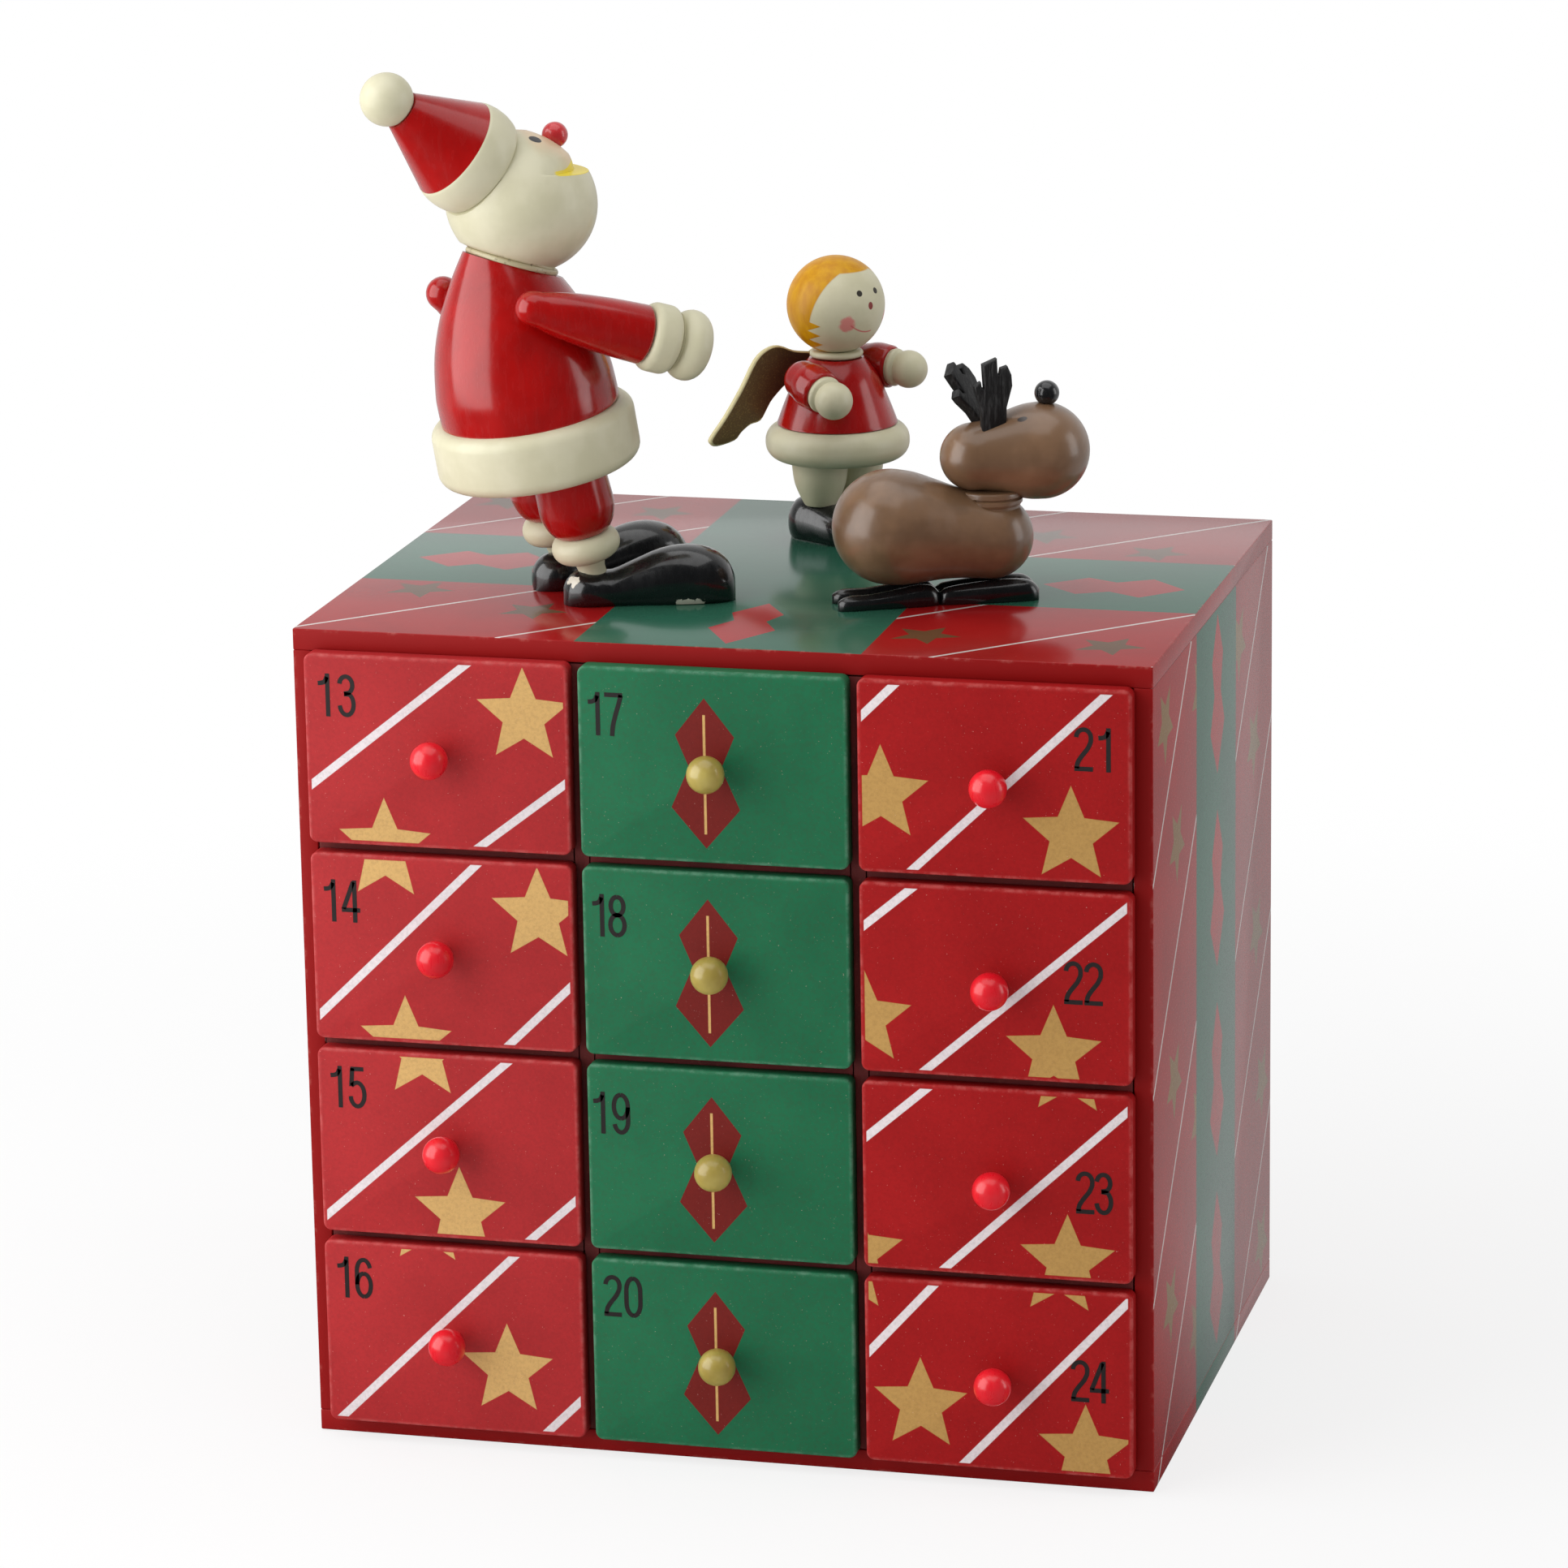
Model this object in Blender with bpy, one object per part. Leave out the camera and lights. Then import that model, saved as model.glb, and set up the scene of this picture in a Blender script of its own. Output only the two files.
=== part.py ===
# Advent calendar box: a gift-wrapped case with twelve drawers in front and twelve behind,
# and three turned wooden figures glued on its top board.
# Metres, +Z up. The origin is under the middle of the bottom board. Drawers 13 to 24 face -Y.

import math

import bmesh
import bpy
from mathutils import Matrix, Vector

# Fits
GAP = 0.0003  # between two pieces that touch
DRAWER_SIDE_GAP = 0.0007  # each side of a tray in its opening

# Case
CASE_WIDTH = 0.180
CASE_DEPTH = 0.136
CASE_HEIGHT = 0.175
SIDE_THICKNESS = 0.004
LID_THICKNESS = 0.0045  # top and bottom boards
DIVIDER_THICKNESS = 0.003
SHELF_THICKNESS = 0.003
COLUMNS = 3
ROWS = 4

# Drawers
FRONT_THICKNESS = 0.004
FRONT_LAP = 0.00045  # of a front over the edge of its opening
FRONT_CORNER = 0.0024
FRONT_EASE = 0.0007
TRAY_HEIGHT = 0.030
TRAY_WALL = 0.002
TRAY_END_GAP = 0.004  # from a tray's back to the middle of the case
KNOB_RADIUS = 0.0039
KNOB_PEG_RADIUS = 0.0016
KNOB_PEG_LENGTH = 0.0016

# Santa: X runs ahead of him, Y to his left, from the middle between his ankles
SANTA_PLACE = (-0.039, -0.026)
SANTA_TURN = 41.0
BOOT_LENGTH = 0.0355
BOOT_WIDTH = 0.0136
BOOT_HEIGHT = 0.0112
SOLE_SHARE = 0.68  # width of a sole, in widths of its boot or shoe
WAIST_SHARE = 0.42  # height where it is widest, in its heights
LEFT_BOOT_TURN = 8.0
RIGHT_BOOT_TURN = -21.0
STANCE_TURN = -6.0  # his left foot is ahead
ANKLE_FORWARD = -0.0017
ANKLE_SPACING = 0.0192
ANKLE_FROM_HEEL = 0.0058
ANKLE_RADIUS = 0.0030
ANKLE_FOOT = 0.0056  # height of the ankle's lower end
ANKLE_LENGTH = 0.0043
LEG_LEAN = 13.0
LEG_CUFF_RADIUS = 0.0072
LEG_CUFF_HEIGHT = 0.0060
LEG_LOW_RADIUS = 0.0060
LEG_TOP_RADIUS = 0.0087
HEM_RADIUS = 0.0213
HEM_HEIGHT = 0.0128
HEM_FORWARD = -0.0097
HEM_LIFT = 0.0277
HEM_EDGE = 0.0028
BODY_LEAN = 9.5
COAT_RADIUS = 0.0187
COAT_HEIGHT = 0.0375
HEAD_RADIUS = 0.0149
NECK_SHARE = 0.84  # height of the neck on the coat, in coat heights
NECK_FORWARD = 0.0009
NECK_LEAN = 18.0
NECK_RADIUS = 0.0102
NECK_DROP = 0.0124  # from the middle of the head to the top of the neck ring
NECK_RING_HEIGHT = 0.0014
NECK_RING_LIP = 0.0007
HAT_LEAN = -52.4
HAT_START = 0.0098  # from the middle of the head to the hat's lower rim
HAT_RIM_RADIUS = 0.0104
HAT_BRIM_RADIUS = 0.0118
HAT_BRIM_HEIGHT = 0.0091
HAT_TIP_RADIUS = 0.0043
HAT_CONE_HEIGHT = 0.0142
POMPOM_RADIUS = 0.0055
SANTA_NOSE_RADIUS = 0.0027
SANTA_NOSE_SEAT = 0.0012  # how deep the ball sits in the face
SANTA_NOSE_TILT = 58.0
SHOULDER_SHARE = 0.676  # height of the shoulders on the coat, in coat heights
SHOULDER_OUT_SHARE = 0.936  # out from its axis, in coat radii
SHOULDER_BACK = 0.0038
SHOULDER_RADIUS = 0.0035
SLEEVE_LENGTH = 0.0280
SLEEVE_END_RADIUS = 0.0061
LEFT_ARM_DROP = 37.0
RIGHT_ARM_DROP = 15.5
ARM_SPLAY = 4.5
CUFF_RADIUS = 0.0071
CUFF_LENGTH = 0.0054
WRIST_RADIUS = 0.0056
MITTEN_RADIUS = 0.0070
MITTEN_LENGTH = 0.0073

# Angel
ANGEL_PLACE = (0.0003, 0.0360)
ANGEL_TURN = -31.0
ANGEL_SHOE_LENGTH = 0.0190
ANGEL_SHOE_WIDTH = 0.0094
ANGEL_SHOE_HEIGHT = 0.0093
ANGEL_SHOE_BACK = 0.0084  # from the leg's axis to the heel
ANGEL_LEG_SPACING = 0.0110
ANGEL_LEG_FOOT = 0.0078
ANGEL_LEG_LOW_RADIUS = 0.0042
ANGEL_LEG_TOP_RADIUS = 0.0061
ANGEL_HEM_LIFT = 0.0174
ANGEL_HEM_HEIGHT = 0.0077
ANGEL_HEM_RADIUS = 0.0156
DRESS_RADIUS = 0.0130
DRESS_HEIGHT = 0.0141
DRESS_TOP_RADIUS = 0.0068
ANGEL_NECK_RADIUS = 0.0067
ANGEL_NECK_HEIGHT = 0.0014
ANGEL_HEAD_RADIUS = 0.0106
ANGEL_HEAD_SEAT = 0.0008
ANGEL_SHOULDER_FORWARD = -0.0010
ANGEL_SHOULDER_DROP = 0.0030  # below the top of the dress
ANGEL_SHOULDER_OUT = 0.0030  # beyond the dress's top
ANGEL_SHOULDER_RADIUS = 0.0034
ANGEL_SLEEVE_LENGTH = 0.0068
ANGEL_SLEEVE_END_RADIUS = 0.0044
LEFT_WRIST_SPLAY = 14.0
RIGHT_WRIST_SPLAY = 8.0
LEFT_WRIST_DROP = 2.0
RIGHT_WRIST_DROP = 15.0
ANGEL_WRIST_RADIUS = 0.0037
ANGEL_WRIST_LENGTH = 0.0012
ANGEL_HAND_RADIUS = 0.0046
WING_THICKNESS = 0.0013
WING_BACK = 0.0016  # from the dress's top to the middle of the wings
WING_SWEEP = 18.0
WING_SPAN = 0.0230
WING_HEIGHT = 0.0206
WING_RISE = 0.0022  # above the dress's top

# Reindeer
DEER_PLACE = (0.0350, -0.0210)
DEER_TURN = 24.0
DEER_LEG_HEIGHT = 0.0046
DEER_LEG_SPREAD = 0.0050  # from the middle to the outer edge of a leg
DEER_LEG_EASE = 0.0014
DEER_REACH_BACK = 0.0222
DEER_REACH_AHEAD = 0.0214
DEER_BODY_SEAT = 0.0004  # how deep the body sits in the legs
DEER_RUMP_RADIUS = 0.0120
DEER_RUMP_FORWARD = -0.0096
DEER_WAIST_RADIUS = 0.0083
DEER_CHEST_RADIUS = 0.0087
DEER_CHEST_REACH = 0.0215  # from the middle of the rump to the middle of the chest
DEER_COLLAR_RADIUS = 0.0060
DEER_COLLAR_RISE = 0.0012  # above the chest
DEER_HEAD_LEAN = 2.5
DEER_POLL_RADIUS = 0.0071
DEER_POLL_BACK = 0.0034  # behind the collar
DEER_POLL_RISE = 0.0069  # above the collar
DEER_THROAT_RADIUS = 0.0071
DEER_SNOUT_RADIUS = 0.0101
DEER_SNOUT_REACH = 0.0142
DEER_NOSE_RADIUS = 0.0026
DEER_NOSE_SEAT = 0.0006
DEER_NOSE_LEAN = 6.0
ANTLER_HEIGHT = 0.0155
ANTLER_WIDTH = 0.0066
ANTLER_THICKNESS = 0.0019
ANTLER_SPACING = 0.0060
ANTLER_AHEAD = 0.0034  # of the poll
ANTLER_SINK = 0.0013  # below the top of the head
LEFT_ANTLER_LEAN = -27.0
RIGHT_ANTLER_LEAN = -3.0

# Roundness of the turned pieces
LARGE_TURNS = 24
MIDDLE_TURNS = 18
SMALL_TURNS = 12

# Places that follow from the sizes
COLUMN_WIDTH = (CASE_WIDTH - 2 * SIDE_THICKNESS - (COLUMNS - 1) * DIVIDER_THICKNESS) / COLUMNS
ROW_HEIGHT = (CASE_HEIGHT - 2 * LID_THICKNESS - (ROWS - 1) * SHELF_THICKNESS) / ROWS
COLUMN_PITCH = COLUMN_WIDTH + DIVIDER_THICKNESS
ROW_PITCH = ROW_HEIGHT + SHELF_THICKNESS
TRAY_LENGTH = CASE_DEPTH / 2 - TRAY_END_GAP
FRONT_WIDTH = COLUMN_WIDTH + 2 * FRONT_LAP
FRONT_HEIGHT = ROW_HEIGHT + 2 * FRONT_LAP


def clear_scene():
    for item in list(bpy.data.objects):
        bpy.data.objects.remove(item)


def paint(name, colour, roughness, metallic=0.0):
    material = bpy.data.materials.new(name)
    material.use_nodes = True
    shader = material.node_tree.nodes["Principled BSDF"]
    shader.inputs["Base Color"].default_value = (*colour, 1.0)
    shader.inputs["Roughness"].default_value = roughness
    shader.inputs["Metallic"].default_value = metallic
    return material


# Placing and joining

def add_piece(name, mesh, material, place=(0, 0, 0), turn=None, parent=None):
    piece = bpy.data.objects.new(name, mesh)
    if not mesh.materials:
        mesh.materials.append(material)
    bpy.context.scene.collection.objects.link(piece)
    piece.location = place
    if turn is not None:
        piece.rotation_euler = turn.to_euler()
    piece.parent = parent
    return piece


def stand(name, place, turn_degrees):
    empty = bpy.data.objects.new(name, None)
    bpy.context.scene.collection.objects.link(empty)
    empty.location = (place[0], place[1], CASE_HEIGHT)
    empty.rotation_euler = (0, 0, math.radians(turn_degrees))
    return empty


def boolean(piece, tool, operation):
    step = piece.modifiers.new(tool.name, "BOOLEAN")
    step.operation = operation
    step.solver = "EXACT"
    step.object = tool
    bpy.context.view_layer.update()
    graph = bpy.context.evaluated_depsgraph_get()
    shaped = bpy.data.meshes.new_from_object(piece.evaluated_get(graph))
    piece.modifiers.clear()
    piece.data = shaped
    bpy.data.objects.remove(tool)


def cut(piece, tool):
    boolean(piece, tool, "DIFFERENCE")


def join(piece, tool):
    boolean(piece, tool, "UNION")


def pointing(direction):
    return Vector(direction).to_track_quat("Z", "Y")


def leaning(forward_degrees, left_degrees=0.0):
    # The direction of an upright that leans ahead and to the figure's left.
    ahead = math.radians(forward_degrees)
    left = math.radians(left_degrees)
    return Vector((math.sin(ahead) * math.cos(left), math.sin(left), math.cos(ahead) * math.cos(left)))


def smooth(mesh, sharp_degrees=40.0):
    mesh.shade_smooth()
    mesh.set_sharp_from_angle(angle=math.radians(sharp_degrees))


# Turned shapes: a profile is a list of (radius, height) from its foot to its top

def arc(radius, height, across, along, start_degrees, end_degrees, steps):
    # Points of an ellipse round (radius, height), -90 degrees at its foot and 90 at its top.
    points = []
    for step in range(steps + 1):
        angle = math.radians(start_degrees + (end_degrees - start_degrees) * step / steps)
        points.append((radius + across * math.cos(angle), height + along * math.sin(angle)))
    return points


def ball(radius, height, steps=8):
    return arc(0, height, radius, radius, -90, 90, steps)


def rounded_disc(radius, foot, top, edge, steps=3):
    profile = [(0, foot)]
    profile += arc(radius - edge, foot + edge, edge, edge, -90, 0, steps)
    profile += arc(radius - edge, top - edge, edge, edge, 0, 90, steps)
    profile.append((0, top))
    return profile


def grown(profile, by):
    foot = min(height for radius, height in profile)
    top = max(height for radius, height in profile)
    middle = (foot + top) / 2
    bigger = []
    for radius, height in profile:
        stretch = 1 + by / (middle - foot)
        bigger.append((radius + by if radius > by / 100 else 0, middle + (height - middle) * stretch))
    return bigger


def turned(name, profile, turns):
    shape = bmesh.new()
    tiny = 1e-7
    points = [shape.verts.new((radius if radius > tiny else 0, 0, height)) for radius, height in profile]
    edges = [shape.edges.new(pair) for pair in zip(points, points[1:])]
    bmesh.ops.spin(
        shape, geom=points + edges, cent=(0, 0, 0), axis=(0, 0, 1), angle=math.tau, steps=turns
    )
    bmesh.ops.remove_doubles(shape, verts=shape.verts, dist=tiny * 10)
    bmesh.ops.recalc_face_normals(shape, faces=shape.faces)
    mesh = bpy.data.meshes.new(name)
    shape.to_mesh(mesh)
    shape.free()
    smooth(mesh)
    return mesh


# Flat and lofted shapes

def block(name, low, high):
    shape = bmesh.new()
    bmesh.ops.create_cube(shape, size=1.0)
    size = [top - bottom for bottom, top in zip(low, high)]
    middle = [(top + bottom) / 2 for bottom, top in zip(low, high)]
    bmesh.ops.scale(shape, vec=size, verts=shape.verts)
    bmesh.ops.translate(shape, vec=middle, verts=shape.verts)
    mesh = bpy.data.meshes.new(name)
    shape.to_mesh(mesh)
    shape.free()
    return mesh


def extruded(name, outline, depth):
    # A closed outline in X and Z, as thick as depth, half of it each side of Y = 0.
    shape = bmesh.new()
    points = [shape.verts.new((x, -depth / 2, z)) for x, z in outline]
    face = shape.faces.new(points)
    moved = bmesh.ops.extrude_face_region(shape, geom=[face])["geom"]
    bmesh.ops.translate(
        shape, vec=(0, depth, 0), verts=[part for part in moved if isinstance(part, bmesh.types.BMVert)]
    )
    bmesh.ops.recalc_face_normals(shape, faces=shape.faces)
    mesh = bpy.data.meshes.new(name)
    shape.to_mesh(mesh)
    shape.free()
    return mesh


def shoe(name, stations, sides=13):
    # A flat-soled body along X: stations are (x, half width, height), its two ends are points.
    low_angle = -math.acos(SOLE_SHARE)
    drop = WAIST_SHARE / -math.sin(low_angle)
    shape = bmesh.new()
    rings = []
    for x, half_width, height in stations[1:-1]:
        ring = []
        for side in range(sides):
            angle = low_angle + (math.pi - 2 * low_angle) * side / (sides - 1)
            rise = (1 - WAIST_SHARE if angle > 0 and angle < math.pi else drop) * math.sin(angle)
            lift = max(height * (WAIST_SHARE + rise), 0)
            ring.append(shape.verts.new((x, half_width * math.cos(angle), lift)))
        rings.append(ring)
    for near, far in zip(rings, rings[1:]):
        for index in range(len(near)):
            after = (index + 1) % len(near)
            shape.faces.new((near[index], near[after], far[after], far[index]))
    for end, ring in ((stations[0], rings[0]), (stations[-1], rings[-1])):
        tip = shape.verts.new((end[0], 0, end[2]))
        for index in range(len(ring)):
            shape.faces.new((ring[index], ring[(index + 1) % len(ring)], tip))
    bmesh.ops.recalc_face_normals(shape, faces=shape.faces)
    mesh = bpy.data.meshes.new(name)
    shape.to_mesh(mesh)
    shape.free()
    smooth(mesh, 50.0)
    return mesh


def rounded_rectangle(width, height, corner, steps):
    outline = []
    for quarter in range(4):
        middle_x = (width / 2 - corner) * (1 if quarter in (0, 3) else -1)
        middle_z = (height / 2 - corner) * (1 if quarter in (0, 1) else -1)
        for step in range(steps + 1):
            angle = math.pi / 2 * (quarter + step / steps)
            outline.append((middle_x + corner * math.cos(angle), middle_z + corner * math.sin(angle)))
    return outline


# Case

def divider_places():
    return [COLUMN_PITCH * (index - (COLUMNS - 2) / 2) for index in range(COLUMNS - 1)]


def shelf_places():
    first = LID_THICKNESS + ROW_HEIGHT + SHELF_THICKNESS / 2
    return [first + ROW_PITCH * index for index in range(ROWS - 1)]


def make_case(red):
    half_width = CASE_WIDTH / 2
    half_depth = CASE_DEPTH / 2
    inner_foot = LID_THICKNESS + GAP
    inner_top = CASE_HEIGHT - LID_THICKNESS - GAP
    lids = (("bottom_board", 0, LID_THICKNESS), ("top_board", CASE_HEIGHT - LID_THICKNESS, CASE_HEIGHT))
    for name, foot, top in lids:
        add_piece(name, block(name, (-half_width, -half_depth, foot), (half_width, half_depth, top)), red)
    for name, side in (("left_side", -1), ("right_side", 1)):
        reach = sorted((side * half_width, side * (half_width - SIDE_THICKNESS)))
        mesh = block(name, (reach[0], -half_depth, inner_foot), (reach[1], half_depth, inner_top))
        add_piece(name, mesh, red)
    dividers = [
        make_divider(f"{side}_divider", x, red) for side, x in zip(("left", "right"), divider_places())
    ]
    shelves = [
        make_shelf(f"{height}_shelf", z, red)
        for height, z in zip(("lower", "middle", "upper"), shelf_places())
    ]
    return dividers + shelves


def make_divider(name, x, red):
    # Slotted from behind at each shelf, as deep as half the case.
    half = DIVIDER_THICKNESS / 2
    half_depth = CASE_DEPTH / 2
    foot = LID_THICKNESS + GAP
    top = CASE_HEIGHT - LID_THICKNESS - GAP
    board = add_piece(name, block(name, (x - half, -half_depth, foot), (x + half, half_depth, top)), red)
    slot = SHELF_THICKNESS / 2 + GAP
    for z in shelf_places():
        low = (x - DIVIDER_THICKNESS, -GAP, z - slot)
        high = (x + DIVIDER_THICKNESS, half_depth + DIVIDER_THICKNESS, z + slot)
        cut(board, add_piece("slot", block("slot", low, high), red))
    return board


def make_shelf(name, z, red):
    # Slotted from the front at each divider, as deep as half the case.
    half = SHELF_THICKNESS / 2
    half_depth = CASE_DEPTH / 2
    end = CASE_WIDTH / 2 - SIDE_THICKNESS - GAP
    board = add_piece(name, block(name, (-end, -half_depth, z - half), (end, half_depth, z + half)), red)
    slot = DIVIDER_THICKNESS / 2 + GAP
    for x in divider_places():
        low = (x - slot, -half_depth - SHELF_THICKNESS, z - SHELF_THICKNESS)
        high = (x + slot, GAP, z + SHELF_THICKNESS)
        cut(board, add_piece("slot", block("slot", low, high), red))
    return board


# Drawers

def drawer_mesh(material):
    # Its origin is the middle of its opening, level with the case's front. It pulls out along -Y.
    outline = rounded_rectangle(FRONT_WIDTH, FRONT_HEIGHT, FRONT_CORNER, 3)
    board = add_piece("drawer", extruded("drawer", outline, FRONT_THICKNESS), material)
    shape = bmesh.new()
    shape.from_mesh(board.data)
    bmesh.ops.translate(shape, vec=(0, -GAP - FRONT_THICKNESS / 2, 0), verts=shape.verts)
    face_y = -GAP - FRONT_THICKNESS
    rim = [edge for edge in shape.edges if all(vert.co.y < face_y + GAP for vert in edge.verts)]
    bmesh.ops.bevel(shape, geom=rim, offset=FRONT_EASE, segments=1, affect="EDGES", profile=0.5)
    shape.to_mesh(board.data)
    shape.free()
    half_tray = COLUMN_WIDTH / 2 - DRAWER_SIDE_GAP
    foot = GAP - ROW_HEIGHT / 2
    top = foot + TRAY_HEIGHT
    root = -GAP - FRONT_THICKNESS / 2
    tray = block("tray", (-half_tray, root, foot), (half_tray, TRAY_LENGTH, top))
    join(board, add_piece("tray", tray, material))
    inner = half_tray - TRAY_WALL
    low = (-inner, TRAY_WALL, foot + TRAY_WALL)
    high = (inner, TRAY_LENGTH - TRAY_WALL, top + TRAY_WALL)
    cut(board, add_piece("hollow", block("hollow", low, high), material))
    join(board, add_piece("knob", knob_mesh(), material, (0, face_y, 0), pointing((0, -1, 0))))
    mesh = board.data
    bpy.data.objects.remove(board)
    mesh.materials.clear()
    smooth(mesh)
    return mesh


def knob_mesh():
    middle = KNOB_PEG_LENGTH + KNOB_RADIUS
    neck_degrees = -math.degrees(math.acos(KNOB_PEG_RADIUS / KNOB_RADIUS))
    profile = [(0, -FRONT_THICKNESS / 2), (KNOB_PEG_RADIUS, -FRONT_THICKNESS / 2)]
    profile += arc(0, middle, KNOB_RADIUS, KNOB_RADIUS, neck_degrees, 90, 6)
    return turned("knob", profile, SMALL_TURNS)


def make_drawers(red, green):
    # 13 to 24 run down the columns in front from the left, and 1 to 12 likewise behind.
    shape = drawer_mesh(red)
    drawers = []
    per_side = COLUMNS * ROWS
    for number in range(1, 2 * per_side + 1):
        in_front = number > per_side
        column, row = divmod((number - 1) % per_side, ROWS)
        across = COLUMN_PITCH * (column - (COLUMNS - 1) / 2)
        z = CASE_HEIGHT - LID_THICKNESS - ROW_HEIGHT / 2 - ROW_PITCH * row
        side = 1 if in_front else -1
        mesh = shape.copy()
        colour = green if column == COLUMNS // 2 else red
        drawer = add_piece(f"drawer_{number:02d}", mesh, colour, (side * across, -side * CASE_DEPTH / 2, z))
        drawer.rotation_euler = (0, 0, 0 if in_front else math.pi)
        drawers.append(drawer)
    return drawers


# Santa

def coat_profile():
    barrel = [(0.0, 1.0), (0.22, 0.985), (0.43, 0.90), (0.64, 0.74), (0.83, 0.53), (1.0, 0.30)]
    profile = [(0, 0)] + [(COAT_RADIUS * width, COAT_HEIGHT * lift) for lift, width in barrel]
    return profile + [(0, COAT_HEIGHT)]


def hem_profile():
    return rounded_disc(HEM_RADIUS, 0, HEM_HEIGHT, HEM_EDGE)


def leg_profile():
    cuff_foot = ANKLE_LENGTH
    cuff_top = cuff_foot + LEG_CUFF_HEIGHT
    edge = LEG_CUFF_HEIGHT * 0.42
    profile = [(0, 0), (ANKLE_RADIUS, 0), (ANKLE_RADIUS, cuff_foot)]
    profile += arc(LEG_CUFF_RADIUS - edge, cuff_foot + edge, edge, edge, -70, 0, 3)
    profile += arc(LEG_CUFF_RADIUS - edge, cuff_top - edge, edge, edge, 20, 80, 2)
    top = HEM_LIFT + HEM_HEIGHT / 2
    swell = LEG_TOP_RADIUS - LEG_LOW_RADIUS
    profile += [(LEG_LOW_RADIUS, cuff_top), (LEG_LOW_RADIUS + swell * 0.6, cuff_top + swell)]
    profile += [(LEG_TOP_RADIUS - swell * 0.06, cuff_top + swell * 2), (LEG_TOP_RADIUS, top)]
    return profile + [(0, top)]


# Shares of the length, the width and the height, from the heel
BOOT_SHAPE = (
    (0.0, 0.0, 0.25), (0.03, 0.34, 0.46), (0.10, 0.60, 0.63), (0.19, 0.66, 0.62), (0.29, 0.63, 0.58),
    (0.42, 0.72, 0.70), (0.57, 0.89, 0.89), (0.72, 1.0, 1.0), (0.85, 0.94, 0.90), (0.94, 0.70, 0.70),
    (0.985, 0.40, 0.48), (1.0, 0.0, 0.30),
)
SHOE_SHAPE = (
    (0.0, 0.0, 0.40), (0.03, 0.42, 0.68), (0.12, 0.80, 0.92), (0.26, 1.0, 1.0), (0.45, 0.97, 0.96),
    (0.66, 0.97, 0.86), (0.84, 0.84, 0.74), (0.96, 0.48, 0.54), (1.0, 0.0, 0.32),
)


def shoe_stations(shape, length, width, height):
    return [(length * along, width / 2 * wide, height * high) for along, wide, high in shape]


def head_profile():
    ring_top = -NECK_DROP
    ring_foot = ring_top - NECK_RING_HEIGHT
    lip = NECK_RADIUS + NECK_RING_LIP
    profile = [(0, ring_foot), (NECK_RADIUS, ring_foot), (lip, (ring_foot + ring_top) / 2)]
    profile += [(NECK_RADIUS - NECK_RING_LIP / 4, ring_top)]
    profile += arc(0, 0, HEAD_RADIUS, HEAD_RADIUS, -40, 90, 8)
    return profile


def hat_profile():
    # From the middle of the head: a groove under the brim, the brim, then the cone.
    brim_foot = HAT_START
    brim_top = brim_foot + HAT_BRIM_HEIGHT
    bulge = HAT_BRIM_RADIUS - HAT_RIM_RADIUS
    profile = [(0, brim_foot), (HAT_RIM_RADIUS, brim_foot)]
    profile += [(HAT_RIM_RADIUS + bulge * 0.75, brim_foot + HAT_BRIM_HEIGHT * 0.12)]
    profile += [(HAT_BRIM_RADIUS, brim_foot + HAT_BRIM_HEIGHT * 0.4)]
    profile += [(HAT_BRIM_RADIUS - bulge * 0.25, brim_foot + HAT_BRIM_HEIGHT * 0.8)]
    profile += [(HAT_RIM_RADIUS, brim_top)]
    profile += [(HAT_TIP_RADIUS, brim_top + HAT_CONE_HEIGHT), (0, brim_top + HAT_CONE_HEIGHT)]
    return profile


def pompom_profile():
    seat = HAT_START + HAT_BRIM_HEIGHT + HAT_CONE_HEIGHT + GAP
    sink = math.degrees(math.acos(min(HAT_TIP_RADIUS * 0.85 / POMPOM_RADIUS, 0.95)))
    middle = seat + POMPOM_RADIUS * math.sin(math.radians(sink))
    return [(0, seat)] + arc(0, middle, POMPOM_RADIUS, POMPOM_RADIUS, -sink, 90, 8)


def sleeve_profile(shoulder, end, length):
    return arc(0, 0, shoulder, shoulder, -90, -15, 3) + [(end, length), (0, length)]


def mitten_profile():
    # Along the arm from the shoulder: a cuff ring, a groove, then the mitten.
    foot = SLEEVE_LENGTH + GAP
    cuff_top = foot + CUFF_LENGTH
    edge = CUFF_LENGTH * 0.45
    profile = [(0, foot)] + arc(CUFF_RADIUS - edge, foot + edge, edge, edge, -70, 70, 4)
    profile += [(WRIST_RADIUS, cuff_top)]
    hand = MITTEN_LENGTH / 2
    profile += arc(MITTEN_RADIUS - hand, cuff_top + hand, hand, hand, -60, 90, 5)
    return profile + [(0, cuff_top + MITTEN_LENGTH)]


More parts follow.
